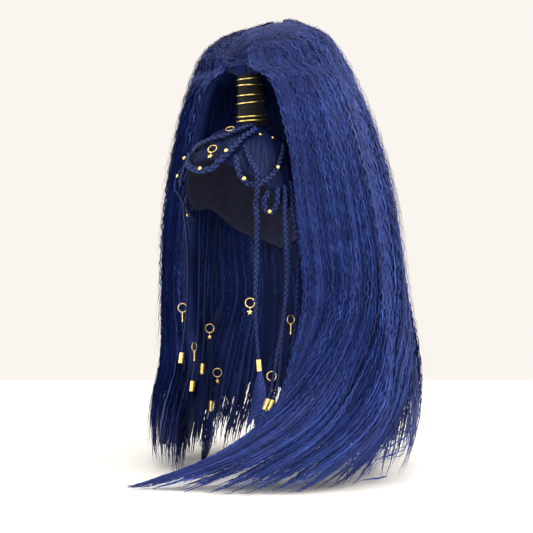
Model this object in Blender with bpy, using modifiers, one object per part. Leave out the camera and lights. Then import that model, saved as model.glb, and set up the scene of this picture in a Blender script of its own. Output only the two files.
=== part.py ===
"""Ponytail wig: a cap with its hair drawn up into a tall wrapped tail, loops and plaits of hair, gold trim.

Metres, +Z up, the wearer faces -Y. The origin is the top of the head, under the cap.
Left and right are the wearer's, so left is +X.
"""

from math import acos, asin, ceil, cos, degrees, pi, radians, sin, sqrt

import bmesh
import bpy
from mathutils import Matrix, Vector
from mathutils.bvhtree import BVHTree

# The head that the cap fits
HEAD_WIDTH = 0.152
HEAD_LENGTH = 0.192
HEAD_CROWN_HEIGHT = 0.105
HEAD_LOWER_HEIGHT = 0.150

# Cap and the hair drawn up over it
SEAT_GAP = 0.0003
CAP_WALL = 0.0016
SWEPT_HAIR_AT_RIM = 0.0030
SWEPT_HAIR_AT_CROWN = 0.0062
SWEPT_HAIR_OVERHANG = 0.0010
SWEPT_HAIR_RIDGE = 0.0005
COLLAR_HEIGHT = 0.0015
COLLAR_WIDTH = 0.0040
CAP_COLUMNS = 28
CAP_ROW_SHARES = (0.12, 0.27, 0.45, 0.64, 0.83, 1.0)

# Wrap round the root of the tail
WRAP_BACK = 0.0180
WRAP_HEIGHT = 0.0068
WRAP_BASE = Vector((0, WRAP_BACK, WRAP_HEIGHT))
WRAP_LEAN = radians(8)
WRAP_LENGTH = 0.0735
WRAP_BASE_RADIUS = 0.0210
WRAP_TOP_RADIUS = 0.0150
WRAP_WALL = 0.0024
WRAP_SIDES = 16
WRAP_RING_WIRE = 0.0010
WIRE_SIDES = 5
WRAP_RING_SHARES = (0.11, 0.20, 0.46, 0.60, 0.79, 0.91)
WRAP_AXIS = Vector((0, -sin(WRAP_LEAN), cos(WRAP_LEAN)))
WRAP_TOP = WRAP_BASE + WRAP_AXIS * WRAP_LENGTH

# Tail of hair
TAIL_SPREAD = 0.132
TAIL_DEPTH = 0.222
TAIL_DOME = 0.0798
TAIL_FALL = 0.484
FLARE_RADIUS = WRAP_TOP_RADIUS + 0.0070
FLARE_HEIGHT = 0.0065
TAIL_COLUMNS = 38
TAIL_FRONT_COLUMNS = 4
LOCK_COUNT = 11
LOCK_DEPTH = 0.0035
TIP_THICKNESS = 0.006

# Plaits, their cuffs and what hangs on them
SWAG_RADIUS = 0.0048
LOOP_RADIUS = 0.0042
PLAIT_RADIUS = 0.0038
THIN_PLAIT_RADIUS = 0.0025
CUFFED_RADIUS = 0.0024
CUFF_WALL = 0.0007
CUFF_LENGTH = 0.0150
CUFF_END_GAP = 0.0010
CUFF_SIDES = 10
HOOP_RADIUS = 0.0062
HOOP_WIRE = 0.00055
HOOP_POINTS = 14
HOOP_STEPS = 180
EYE_RADIUS = 0.0016
EYE_WIRE = 0.00045
STAR_RADIUS = 0.0046
STAR_THICKNESS = 0.0012
BAR_LENGTH = 0.0125
BAR_RADIUS = 0.0009
STUD_RADIUS = 0.0025
STUD_HEIGHT_SHARE = 0.75
HOOP_FACING = radians(35)
LOOP_STEP = 0.013
HAIR_CURVE = 0.0003
SEAT_SEARCH = 0.030
SEAT_STEPS = 14
PLAIT_STEP = 0.021

# Edge of the cap: azimuth from the front in degrees, drop below the crown as a share of HEAD_CROWN_HEIGHT
CAP_EDGE = (
    (0, 0.45),
    (30, 0.56),
    (60, 0.78),
    (80, 1.04),
    (102, 1.02),
    (130, 1.30),
    (180, 1.55),
)

# Outside of the tail, from its top down. level: share of TAIL_DOME above the front opening, or below it
# of the way down to the floor. half_width and gap (half of the front opening): how far beyond the side of
# the head, as a share of TAIL_SPREAD. centre, front and back: shares of TAIL_DEPTH, back from the crown,
# then forward and back from that centre.
TAIL_OUTSIDE = (
    # level, half_width, centre, front, back, gap
    (0.863, -0.284, 0.380, 0.135, 0.260, 0.000),
    (0.653, 0.031, 0.293, 0.248, 0.342, 0.000),
    (0.337, 0.212, 0.240, 0.320, 0.478, 0.000),
    (0.000, 0.318, 0.216, 0.315, 0.620, -0.434),
    (-0.025, 0.357, 0.210, 0.325, 0.665, -0.237),
    (-0.060, 0.423, 0.207, 0.331, 0.735, -0.119),
    (-0.154, 0.576, 0.216, 0.347, 0.829, 0.015),
    (-0.277, 0.727, 0.225, 0.338, 0.900, 0.091),
    (-0.416, 0.819, 0.252, 0.374, 0.924, 0.166),
    (-0.574, 0.871, 0.297, 0.419, 0.973, 0.220),
    (-0.731, 0.954, 0.360, 0.495, 0.995, 0.070),
    (-0.853, 1.008, 0.342, 0.612, 0.919, 0.061),
    (-0.941, 0.992, 0.306, 0.631, 0.793, 0.061),
    (-1.000, 0.909, 0.279, 0.608, 0.712, 0.061),
)
# Inside of the tail, round the head and neck, in the same shares
TAIL_INSIDE = (
    # level, half_width, centre, front, back
    (0.0, (FLARE_RADIUS - HEAD_WIDTH / 2) / TAIL_SPREAD, WRAP_TOP.y / TAIL_DEPTH,
     FLARE_RADIUS / TAIL_DEPTH, FLARE_RADIUS / TAIL_DEPTH),
    (-0.025, -0.150, 0.095, 0.130, 0.300),
    (-0.060, 0.039, 0.160, 0.170, 0.470),
    (-0.154, 0.152, 0.198, 0.185, 0.550),
    (-0.277, 0.242, 0.225, 0.185, 0.604),
    (-0.416, 0.333, 0.243, 0.203, 0.640),
    (-0.574, 0.393, 0.270, 0.221, 0.703),
    (-0.731, 0.485, 0.333, 0.284, 0.730),
    (-0.853, 0.530, 0.324, 0.405, 0.667),
    (-0.941, 0.560, 0.297, 0.468, 0.586),
    (-1.000, 0.576, 0.279, 0.486, 0.550),
)
# Levels of the mesh rows above the front opening, and below it as shares of the drop to the hem
TAIL_TOP_LEVELS = (0.968, 0.905, 0.789, 0.621, 0.411, 0.2)
TAIL_FALL_ROWS = (
    0.0, 0.018, 0.050, 0.10, 0.18, 0.29, 0.40, 0.51, 0.61, 0.70, 0.78, 0.845, 0.90, 0.94, 0.975, 1.0,
)  # fmt: skip
# Hem: place round the tail from the left edge of the opening to the right, rise above the floor, as a level
HEM = (
    # around, rise
    (0.000, 0.000),
    (0.300, 0.000),
    (0.420, 0.017),
    (0.520, 0.003),
    (0.620, 0.020),
    (0.720, 0.003),
    (0.795, 0.038),
    (0.840, 0.005),
    (0.885, 0.080),
    (0.925, 0.003),
    (0.955, 0.093),
    (0.985, 0.008),
    (1.000, 0.051),
)
# Left front hair swept along the floor: place round the tail, then where its hem lies.
# across: share of the tail's whole half width, forward: share of TAIL_DEPTH, both from the crown
SWEEP = (
    # around, across, forward
    (0.000, -0.356, 0.757),
    (0.034, -0.050, 0.690),
    (0.072, 0.240, 0.610),
    (0.115, 0.435, 0.470),
    (0.165, 0.640, 0.245),
    (0.220, 0.800, 0.000),
)
SWEEP_START = 0.73
SWEEP_INWARD = Vector((-0.5, 0.85))


def between(rows, x, column):
    """A column of a table at x, on a smooth curve through its rows. The first column may rise or fall."""
    rising = rows[0][0] < rows[-1][0]
    ordered = rows if rising else rows[::-1]
    if x <= ordered[0][0]:
        return ordered[0][column]
    if x >= ordered[-1][0]:
        return ordered[-1][column]
    i = max(k for k in range(len(ordered) - 1) if ordered[k][0] <= x)
    low, high = ordered[i], ordered[i + 1]
    before, after = ordered[max(i - 1, 0)], ordered[min(i + 2, len(ordered) - 1)]
    span = high[0] - low[0]
    slope_low = (high[column] - before[column]) / (high[0] - before[0]) * span
    slope_high = (after[column] - low[column]) / (after[0] - low[0]) * span
    t = (x - low[0]) / span
    return (
        low[column] * (2 * t**3 - 3 * t**2 + 1)
        + slope_low * (t**3 - 2 * t**2 + t)
        + high[column] * (3 * t**2 - 2 * t**3)
        + slope_high * (t**3 - t**2)
    )


def smooth(t):
    t = min(max(t, 0), 1)
    return t * t * (3 - 2 * t)


def material(name, colour, roughness, metallic=0.0):
    made = bpy.data.materials.new(name)
    made.use_nodes = True
    shader = made.node_tree.nodes["Principled BSDF"]
    shader.inputs["Base Color"].default_value = (*colour, 1)
    shader.inputs["Roughness"].default_value = roughness
    shader.inputs["Metallic"].default_value = metallic
    return made


def collection(name):
    made = bpy.data.collections.new(name)
    bpy.context.scene.collection.children.link(made)
    return made


def keep(obj, name, finish, group=None):
    """Names an object, gives it its material and moves it into its collection."""
    obj.name = name
    obj.data.name = name
    obj.data.materials.clear()
    obj.data.materials.append(finish)
    for old in list(obj.users_collection):
        old.objects.unlink(obj)
    (group or WIG).objects.link(obj)
    return obj


def mesh_object(name, points, faces, finish, group=None):
    """An object from points and faces, closed and facing out, shaded smooth."""
    data = bpy.data.meshes.new(name)
    data.from_pydata([tuple(p) for p in points], [], faces)
    build = bmesh.new()
    build.from_mesh(data)
    bmesh.ops.recalc_face_normals(build, faces=build.faces)
    build.to_mesh(data)
    build.free()
    data.shade_smooth()
    obj = bpy.data.objects.new(name, data)
    bpy.context.scene.collection.objects.link(obj)
    return keep(obj, name, finish, group)


def clear_scene():
    for obj in list(bpy.data.objects):
        bpy.data.objects.remove(obj)


# Places on the head

def head_point(azimuth, drop, lift=0.0):
    """A point lift above the head, at an azimuth in degrees and a drop below the crown in metres."""
    height = HEAD_CROWN_HEIGHT - drop
    reach = HEAD_CROWN_HEIGHT if height >= 0 else HEAD_LOWER_HEIGHT
    polar = acos(max(-1, min(1, height / reach)))
    turn = radians(azimuth)
    return on_head(Vector((sin(polar) * sin(turn), -sin(polar) * cos(turn), cos(polar))), lift)


def edge_polar(azimuth):
    """Polar angle of the cap's edge at an azimuth, the same on both sides."""
    folded = abs((azimuth + 180) % 360 - 180)
    height = HEAD_CROWN_HEIGHT * (1 - between(CAP_EDGE, folded, 1))
    reach = HEAD_CROWN_HEIGHT if height >= 0 else HEAD_LOWER_HEIGHT
    return acos(max(-1, min(1, height / reach)))


def wrap_circle(radius, height, column):
    """A point round the wrap's axis, a height above its base, for a column of the cap."""
    turn = 2 * pi * column / CAP_COLUMNS
    back = Vector((0, cos(WRAP_LEAN), sin(WRAP_LEAN)))
    flat = Vector((radius * sin(turn), 0, 0)) - back * (radius * cos(turn))
    return WRAP_BASE + WRAP_AXIS * height + flat


def hair_row(lift, share, overhang=0.0):
    """A row of the cap, lift above the head, between the wrap (0) and the cap's edge (1)."""
    row = []
    for column in range(CAP_COLUMNS):
        azimuth = 360 * column / CAP_COLUMNS
        polar = edge_polar(azimuth) + overhang / HEAD_CROWN_HEIGHT
        edge = Vector((sin(polar) * sin(radians(azimuth)), -sin(polar) * cos(radians(azimuth)), cos(polar)))
        top = Vector((0, WRAP_BASE.y * 2 / HEAD_LENGTH, 1)).normalized()
        toward = top.slerp(edge, share)
        ridge = SWEPT_HAIR_RIDGE * (-1) ** column * sin(pi * share) if overhang else 0
        row.append(on_head(toward, lift + ridge))
    return row


def on_head(toward, lift):
    """A point above the head, where toward is a direction on the unit sphere that the head stretches."""
    reach = HEAD_CROWN_HEIGHT if toward.z >= 0 else HEAD_LOWER_HEIGHT
    return Vector((
        (HEAD_WIDTH / 2 + lift) * toward.x,
        (HEAD_LENGTH / 2 + lift) * toward.y,
        (reach + lift) * toward.z - HEAD_CROWN_HEIGHT,
    ))  # fmt: skip


def swept_lift(share):
    """Outside of the drawn-up hair above the head, from the wrap (0) to the cap's edge (1)."""
    grown = SWEPT_HAIR_AT_CROWN + (SWEPT_HAIR_AT_RIM - SWEPT_HAIR_AT_CROWN) * smooth(share)
    return CAP_WALL + SEAT_GAP + grown


def shell_over_head(name, finish, outer_rows, inner_rows, outer_top, inner_top):
    """A closed shell from matching rows outside and inside, each closed by a point at the top."""
    points, faces = [], []
    for rows, top in ((outer_rows, outer_top), (inner_rows, inner_top)):
        start = len(points)
        points.append(top)
        for row in rows:
            points.extend(row)
        for column in range(CAP_COLUMNS):
            after = (column + 1) % CAP_COLUMNS
            faces.append((start, start + 1 + column, start + 1 + after))
            for row in range(len(rows) - 1):
                a = start + 1 + row * CAP_COLUMNS
                b = a + CAP_COLUMNS
                faces.append((a + column, b + column, b + after, a + after))
    outer_rim = 1 + (len(outer_rows) - 1) * CAP_COLUMNS
    inner_rim = len(points) - CAP_COLUMNS
    for column in range(CAP_COLUMNS):
        after = (column + 1) % CAP_COLUMNS
        faces.append((outer_rim + column, inner_rim + column, inner_rim + after, outer_rim + after))
    return mesh_object(name, points, faces, finish)


def build_cap():
    """The cap, and the hair drawn up over it into a collar that the wrap stands in."""
    top = Vector((0, WRAP_BASE.y * 2 / HEAD_LENGTH, 1)).normalized()
    outside = [hair_row(CAP_WALL, share) for share in CAP_ROW_SHARES]
    inside = [hair_row(0, share) for share in CAP_ROW_SHARES]
    shell_over_head("cap", CAP_CLOTH, outside, inside, on_head(top, CAP_WALL), on_head(top, 0))

    seat = (WRAP_BASE_RADIUS + SEAT_GAP) / cos(pi / CAP_COLUMNS)
    columns = range(CAP_COLUMNS)
    outside = [
        [wrap_circle(seat, -SEAT_GAP, c) for c in columns],
        [wrap_circle(seat, COLLAR_HEIGHT, c) for c in columns],
        [wrap_circle(seat + COLLAR_WIDTH, 0, c) for c in columns],
    ]
    wide = CAP_ROW_SHARES[1:]
    outside += [hair_row(swept_lift(share), share, SWEPT_HAIR_OVERHANG) for share in wide]
    under = CAP_WALL + SEAT_GAP
    inside = [hair_row(under, share) for share in CAP_ROW_SHARES]
    seat_middle = WRAP_BASE - WRAP_AXIS * SEAT_GAP
    shell_over_head("swept_hair", HAIR, outside, inside, seat_middle, on_head(top, under))


# Turned pieces

def turned_ring(name, finish, outline, centre, axis, sides):
    """A closed outline of (radius, height) pairs turned round an axis through centre."""
    data = bpy.data.meshes.new(name)
    count = len(outline)
    data.from_pydata([(r, 0, h) for r, h in outline], [(i, (i + 1) % count) for i in range(count)], [])
    obj = bpy.data.objects.new(name, data)
    bpy.context.scene.collection.objects.link(obj)
    keep(obj, name, finish)
    turn = obj.modifiers.new("turn", "SCREW")
    turn.steps = turn.render_steps = sides
    turn.use_merge_vertices = True
    turn.merge_threshold = 0.00001
    turn.use_normal_flip = True
    turn.use_smooth_shade = True
    place(obj, centre, axis)
    return obj


def place(obj, centre, axis):
    obj.rotation_mode = "QUATERNION"
    obj.rotation_quaternion = Vector(axis).to_track_quat("Z", "Y")
    obj.location = centre


def wrap_radius(share):
    return WRAP_BASE_RADIUS + (WRAP_TOP_RADIUS - WRAP_BASE_RADIUS) * share


def build_wrap():
    outline = (
        (WRAP_BASE_RADIUS - WRAP_WALL, 0),
        (WRAP_BASE_RADIUS, 0),
        (WRAP_TOP_RADIUS, WRAP_LENGTH),
        (WRAP_TOP_RADIUS - WRAP_WALL, WRAP_LENGTH),
    )
    turned_ring("wrap", BLACK_CLOTH, outline, WRAP_BASE, WRAP_AXIS, WRAP_SIDES)
    for index, share in enumerate(WRAP_RING_SHARES):
        centre = WRAP_BASE.lerp(WRAP_TOP, share)
        bpy.ops.mesh.primitive_torus_add(
            major_radius=wrap_radius(share) + WRAP_RING_WIRE + SEAT_GAP,
            minor_radius=WRAP_RING_WIRE,
            major_segments=WRAP_SIDES,
            minor_segments=WIRE_SIDES,
        )
        ring = keep(bpy.context.object, f"wrap_ring_{index + 1}", GOLD)
        ring.data.shade_smooth()
        place(ring, centre, WRAP_AXIS)


# The tail of hair

def tail_height(level):
    """Height of a level: above the opening a share of the dome, below it of the way to the floor."""
    opening = WRAP_TOP.z + WRAP_TOP_RADIUS * sin(WRAP_LEAN) + FLARE_HEIGHT
    return opening + level * (TAIL_DOME if level > 0 else opening + TAIL_FALL)


def tail_width(rows, level, column=1):
    return HEAD_WIDTH / 2 + between(rows, level, column) * TAIL_SPREAD


def tail_angle(level, around, rows):
    """Angle from the front, by the left, for a place between the opening's edges."""
    edge = asin(min(tail_width(TAIL_OUTSIDE, level, 5) / tail_width(rows, level), 0.97))
    return edge + (2 * pi - 2 * edge) * around


def tail_outline(rows, level, angle):
    """A point of one section, as x and y."""
    centre = between(rows, level, 2) * TAIL_DEPTH
    reach = between(rows, level, 3 if cos(angle) > 0 else 4) * TAIL_DEPTH
    return Vector((tail_width(rows, level) * sin(angle), centre - reach * cos(angle)))


def tail_point(rows, drop, around):
    """A point of the tail's outside or inside, by its share of the drop from the opening to the hem."""
    level = (between(HEM, around, 1) - 1) * drop
    flat = tail_outline(rows, level, tail_angle(level, around, rows))
    if rows is TAIL_OUTSIDE:
        flat = flat * (1 + lock_ridge(around, drop) / flat.length)
    if around < SWEEP[-1][0]:
        at_hem = tail_outline(rows, -1, tail_angle(-1, around, rows))
        grown = max(0.0, (-level - SWEEP_START) / (1 - SWEEP_START)) ** 3
        flat = flat + (swept_hem(rows, around) - at_hem) * grown
    return Vector((flat.x, flat.y, tail_height(level)))


def swept_hem(rows, around):
    """Where the left front hair lies on the floor, its outer line or its inner one."""
    across = between(SWEEP, around, 1) * (HEAD_WIDTH / 2 + TAIL_SPREAD)
    target = Vector((across, -between(SWEEP, around, 2) * TAIL_DEPTH))
    if rows is TAIL_OUTSIDE:
        return target
    grown = smooth(around / SWEEP[-1][0])
    own = tail_outline(rows, -1, tail_angle(-1, around, rows))
    beside = target + SWEEP_INWARD * (TIP_THICKNESS + 4 * TIP_THICKNESS * grown)
    return beside.lerp(own, grown**3)


def lock_ridge(around, drop):
    """Height of the locks that stand proud of the outside, growing down the fall."""
    return LOCK_DEPTH * smooth(drop * 3) * cos(2 * pi * LOCK_COUNT * around + 3 * drop)


def top_point(level, angle):
    """A point of the closed top of the tail, above the front opening."""
    highest = TAIL_OUTSIDE[0][0]
    flat = tail_outline(TAIL_OUTSIDE, level, angle)
    centre = Vector((0, between(TAIL_OUTSIDE, level, 2) * TAIL_DEPTH))
    shrink = sqrt((1 - level) / (1 - highest)) if level > highest else 1
    flat = centre + (flat - centre) * shrink
    return Vector((flat.x, flat.y, tail_height(level)))


def stem_radius(share):
    """The hair fits inside the flats of the wrap."""
    return (wrap_radius(share) - WRAP_WALL) * cos(pi / WRAP_SIDES) - SEAT_GAP


def stem_ring(height_share, radius, angles):
    """A ring of the hair inside the wrap, across the wrap's axis."""
    centre = WRAP_BASE.lerp(WRAP_TOP, height_share)
    back = Vector((0, cos(WRAP_LEAN), sin(WRAP_LEAN)))
    return [centre + Vector((radius * sin(a), 0, 0)) - back * (radius * cos(a)) for a in angles]


def build_tail():
    around = [i / TAIL_COLUMNS for i in range(TAIL_COLUMNS + 1)]
    angles = [tail_angle(0, u, TAIL_OUTSIDE) for u in around]
    across = [2 * i / TAIL_FRONT_COLUMNS - 1 for i in range(1, TAIL_FRONT_COLUMNS)]
    ring_angles = angles + [angles[0] * x for x in across]
    ring, strip = len(ring_angles), len(angles)
    points, faces = [], []

    def add(row):
        points.extend(row)
        return len(points) - len(row)

    def join(upper, lower, columns, closed):
        for i in range(columns if closed else columns - 1):
            j = (i + 1) % columns
            faces.append((upper + i, lower + i, lower + j, upper + j))

    # Outside, from the peak down to the level of the opening
    peak = add([top_point(1.0, 0)])
    above = add([top_point(TAIL_TOP_LEVELS[0], a) for a in ring_angles])
    faces.extend((peak, above + i, above + (i + 1) % ring) for i in range(ring))
    for level in TAIL_TOP_LEVELS[1:]:
        row = add([top_point(level, a) for a in ring_angles])
        join(above, row, ring, True)
        above = row
    brow = add([tail_point(TAIL_OUTSIDE, 0, u) for u in around] + [top_point(0, angles[0] * x) for x in across])
    join(above, brow, ring, True)

    # Stem inside the wrap, which spreads into the underside of the brow
    root = add(stem_ring(SEAT_GAP / WRAP_LENGTH, stem_radius(0), ring_angles))
    faces.append(tuple(root + i for i in range(ring)))
    neck = add(stem_ring(1, stem_radius(1), ring_angles))
    join(root, neck, ring, True)
    under_edge = tail_angle(0, 0, TAIL_INSIDE)
    underside = [tail_outline(TAIL_INSIDE, 0, under_edge * x) for x in across]
    inner_brow = add([tail_point(TAIL_INSIDE, 0, u) for u in around] + [(*p, tail_height(0)) for p in underside])
    join(neck, inner_brow, ring, True)

    # Both sides from the opening down to the hem
    outer, inner = [brow], [inner_brow]
    for made, rows in ((outer, TAIL_OUTSIDE), (inner, TAIL_INSIDE)):
        for drop in TAIL_FALL_ROWS[1:]:
            made.append(add([tail_point(rows, drop, u) for u in around]))
        for upper, lower in zip(made, made[1:]):
            join(upper, lower, strip, False)

    # Hem, edges of the opening and underside of the brow
    for i in range(strip - 1):
        faces.append((outer[-1] + i, inner[-1] + i, inner[-1] + i + 1, outer[-1] + i + 1))
    for column in (0, strip - 1):
        for k in range(len(outer) - 1):
            faces.append((outer[k] + column, outer[k + 1] + column, inner[k + 1] + column, inner[k] + column))
    for i in range(strip - 1, ring):
        j = (i + 1) % ring
        faces.append((brow + i, inner_brow + i, inner_brow + j, brow + j))
    mesh_object("ponytail", points, faces, HAIR)


# Plaits and loops

def on_route(points, step):
    """Points about step apart on a smooth curve through the given ones, each with its share of the way."""
    found = []
    last = len(points) - 1
    for i in range(last):
        a, b = points[i], points[i + 1]
        before, after = points[max(i - 1, 0)], points[min(i + 2, last)]
        count = max(1, ceil((b - a).length / step))
        for k in range(count):
            t = k / count
            found.append(
                a * (2 * t**3 - 3 * t**2 + 1)
                + (b - before) / 2 * (t**3 - 2 * t**2 + t)
                + b * (3 * t**2 - 2 * t**3)
                + (after - a) / 2 * (t**3 - t**2)
            )
    found.append(points[-1])
    return with_shares(found)


def with_shares(points):
    """Pairs each point of a polyline with its share of the way."""
    lengths = [0.0]
    for a, b in zip(points, points[1:]):
        lengths.append(lengths[-1] + (b - a).length)
    return [(p, length / lengths[-1]) for p, length in zip(points, lengths)]


def plait(name):
    """A tube of hair along a route, with its radius by its share of the way."""
    data = bpy.data.curves.new(name, "CURVE")
    data.dimensions = "3D"
    data.bevel_depth = 1
    data.bevel_resolution = 1
    data.use_fill_caps = True
    route, radius_at = strand(name)
    spline = data.splines.new("POLY")
    spline.points.add(len(route) - 1)
    for point, (place_on_route, share) in zip(spline.points, route):
        point.co = (*place_on_route, 1)
        point.radius = radius_at(share)
    obj = bpy.data.objects.new(name, data)
    bpy.context.scene.collection.objects.link(obj)
    return keep(obj, name, HAIR)


def outward(point):
    """Direction away from the middle of the head."""
    middle = Vector((0, 0, -HEAD_CROWN_HEIGHT))
    return (point - middle).normalized()


def seat_lift(azimuth, drop, radius):
    """How far above the head a ball of that radius comes to rest, let down on the hair or the skin."""
    clear = radius + SEAT_GAP
    lift = SEAT_SEARCH
    for _ in range(SEAT_STEPS):
        distance = HAIR_SURFACE.find_nearest(head_point(azimuth, drop, lift))[3]
        lift = max(clear, lift - (distance - clear))
    return lift


def seated(azimuth, drop, radius):
    return head_point(azimuth, drop, seat_lift(azimuth, drop, radius))


def laid(rows, radius):
    """Points of a loop let down on the head. over: 0 on the hair or skin, 1 on top of another loop."""
    side = HEAD_WIDTH / 2
    flat = [Vector((radians(azimuth), drop, over)) * side for azimuth, drop, over in rows]
    spots = [spot / side for spot, _ in on_route(flat, LOOP_STEP)]
    halfway = [(a + b) / 2 for a, b in zip(spots, spots[1:])]
    found = []
    for i, (turn, drop, over) in enumerate(spots):
        near = [spots[i], *halfway[max(i - 1, 0):i + 1]]
        lift = max(seat_lift(degrees(n[0]), n[1] * HEAD_CROWN_HEIGHT, radius + HAIR_CURVE) for n in near)
        point = head_point(degrees(turn), drop * HEAD_CROWN_HEIGHT, lift)
        found.append(point + outward(point) * over * (2 * LOOP_RADIUS + SEAT_GAP))
    return found


def hung(rows):
    """Points of a hanging plait, from its fall rows."""
    ears = HEAD_CROWN_HEIGHT
    return [
        Vector((across * HEAD_WIDTH / 2, back * HEAD_LENGTH / 2, -ears - drop * (TAIL_FALL - ears)))
        for across, back, drop in rows
    ]


# Loops on the head. Columns: azimuth in degrees, drop as a share of HEAD_CROWN_HEIGHT, over
LOOPS = {
    "front_loop": (
        SWAG_RADIUS,
        ((-42, 0.40, 0), (-33, 0.50, 0), (-18, 0.585, 0), (-2, 0.625, 0), (12, 0.59, 0),
         (22, 0.48, 0), (31, 0.36, 0), (40, 0.24, 0), (60, 0.13, 0)),
    ),
    "brow_band": (
        LOOP_RADIUS,
        ((-58, 0.36, 0), (-32, 0.32, 0), (-14, 0.27, 0), (4, 0.235, 0), (18, 0.20, 0), (34, 0.135, 0),
         (58, 0.07, 0)),
    ),
    "left_temple_loop": (
        LOOP_RADIUS,
        ((33.5, 0.47, 0), (35, 0.58, 0), (38, 0.70, 0), (43, 0.77, 0), (49, 0.80, 0), (56, 0.78, 0),
         (64, 0.71, 0), (72, 0.60, 0), (80, 0.46, 0), (92, 0.30, 0)),
    ),
    "left_ear_loop": (
        LOOP_RADIUS,
        ((63, 0.88, 0), (59, 0.99, 0), (60, 1.09, 0), (64, 1.13, 0), (68, 1.09, 0), (69.5, 1.00, 0.06),
         (69.5, 0.90, 0.08), (70.0, 0.83, 0.08)),
    ),
    "right_temple_loop": (
        LOOP_RADIUS,
        ((-47, 0.53, 0), (-49, 0.66, 0), (-54, 0.745, 0), (-62, 0.72, 0), (-72, 0.60, 0), (-80, 0.46, 0),
         (-92, 0.30, 0)),
    ),
    "right_ear_loop": (
        LOOP_RADIUS,
        ((-74, 0.86, 0), (-72.5, 1.00, 0), (-75, 1.09, 0), (-79.5, 1.12, 0), (-84, 1.06, 0),
         (-85, 0.95, 0), (-84, 0.84, 0)),
    ),
}  # fmt: skip

# Hanging plaits. Each has its radius, its start on the head (as a loop's columns), its fall
# (across, back: shares of half the head; drop: share of the way from the ears to the floor), where its
# cuff sits along it as a share of the way, or None, and the radius of the loose tail below.
PLAITS = {
    "left_cheek_plait": dict(
        radius=PLAIT_RADIUS,
        head=((42, 0.34, 0), (46, 0.50, 0), (50, 0.62, 0.7), (51.5, 0.72, 1.1), (52, 0.82, 1.1), (52, 0.91, 1.0),
              (51.5, 1.02, 0)),
        fall=((0.90, -0.70, 0.055), (0.86, -0.66, 0.157), (0.84, -0.66, 0.310), (0.86, -0.68, 0.425), (0.89, -0.66, 0.527),
              (0.92, -0.655, 0.617), (0.90, -0.67, 0.694), (0.81, -0.72, 0.745), (0.72, -0.745, 0.789)),
        cuff=0.78,
        tail=0.0072,
    ),
    "left_jaw_plait": dict(
        radius=PLAIT_RADIUS,
        head=((77.5, 0.80, 0), (77.5, 0.93, 0)),
        fall=((1.14, -0.31, 0.036), (1.15, -0.29, 0.132), (1.16, -0.28, 0.234), (1.15, -0.30, 0.336), (1.13, -0.36, 0.438),
              (1.10, -0.44, 0.527), (1.06, -0.50, 0.617), (1.01, -0.54, 0.681), (0.91, -0.60, 0.738), (0.82, -0.66, 0.783)),
        cuff=0.90,
        tail=0.0040,
    ),
    "left_ear_plait": dict(
        radius=THIN_PLAIT_RADIUS,
        head=((95, 0.78, 0), (94, 0.92, 0)),
        fall=((1.12, 0.01, 0.010), (1.06, -0.05, 0.068), (1.05, -0.06, 0.157), (1.04, -0.07, 0.259), (1.02, -0.14, 0.361),
              (1.01, -0.20, 0.438), (1.02, -0.26, 0.527), (1.00, -0.30, 0.617), (0.96, -0.33, 0.681), (0.87, -0.37, 0.738),
              (0.77, -0.41, 0.789)),
        cuff=0.91,
        tail=0.0034,
    ),
    "left_nape_plait": dict(
        radius=PLAIT_RADIUS,
        head=((85, 0.74, 0), (85.5, 0.92, 0)),
        fall=((1.165, -0.12, 0.042), (1.165, -0.03, 0.106), (1.14, 0.06, 0.183), (1.10, 0.08, 0.259), (1.09, 0.07, 0.336),
              (1.09, 0.04, 0.413), (1.08, 0.00, 0.489), (1.05, -0.04, 0.566), (1.03, -0.08, 0.630)),
        cuff=None,
        tail=0.0042,
    ),
    "right_cheek_plait": dict(
        radius=THIN_PLAIT_RADIUS,
        head=((-57, 0.46, 0), (-57, 0.56, 0.6), (-56.5, 0.65, 1.15), (-57, 0.83, 1.15), (-57.5, 0.90, 0.7),
              (-58, 0.98, 0)),
        fall=((-0.967, -0.47, 0.023), (-1.01, -0.39, 0.068), (-1.045, -0.32, 0.132), (-1.06, -0.28, 0.195),
              (-1.07, -0.27, 0.272), (-1.075, -0.28, 0.349), (-1.07, -0.33, 0.438), (-1.05, -0.42, 0.527),
              (-1.01, -0.52, 0.604), (-0.985, -0.57, 0.681), (-0.96, -0.61, 0.770), (-0.95, -0.63, 0.847)),
        cuff=0.735,
        tail=0.0070,
    ),
    "right_jaw_plait": dict(
        radius=THIN_PLAIT_RADIUS,
        head=((-93, 0.78, 0), (-94, 0.92, 0)),
        fall=((-1.12, 0.06, 0.029), (-1.06, 0.00, 0.144), (-1.01, -0.06, 0.259), (-0.98, -0.10, 0.361),
              (-0.96, -0.14, 0.464), (-0.95, -0.20, 0.566), (-0.965, -0.28, 0.668), (-0.95, -0.35, 0.770),
              (-0.92, -0.40, 0.860)),
        cuff=0.80,
        tail=0.0055,
    ),
    "right_ear_plait": dict(
        radius=THIN_PLAIT_RADIUS,
        head=((-103, 0.78, 0), (-103, 0.92, 0)),
        fall=((-1.09, 0.24, 0.042), (-1.06, 0.18, 0.157), (-1.03, 0.10, 0.285), (-1.00, 0.06, 0.413), (-0.98, 0.02, 0.515),
              (-0.97, -0.02, 0.579), (-0.965, -0.07, 0.668), (-0.955, -0.13, 0.770), (-0.94, -0.17, 0.860)),
        cuff=0.735,
        tail=0.0045,
    ),
    "right_nape_plait": dict(
        radius=THIN_PLAIT_RADIUS,
        head=((-113, 0.86, 0), (-114, 1.00, 0)),
        fall=((-1.05, 0.42, 0.055), (-1.03, 0.34, 0.183), (-1.01, 0.25, 0.336), (-0.96, 0.20, 0.489), (-0.93, 0.17, 0.617),
              (-0.92, 0.13, 0.706), (-0.88, 0.07, 0.783), (-0.80, -0.08, 0.872), (-0.72, -0.25, 0.936),
              (-0.64, -0.42, 0.977)),
        cuff=0.755,
        tail=0.0080,
    ),
}  # fmt: skip

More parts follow.
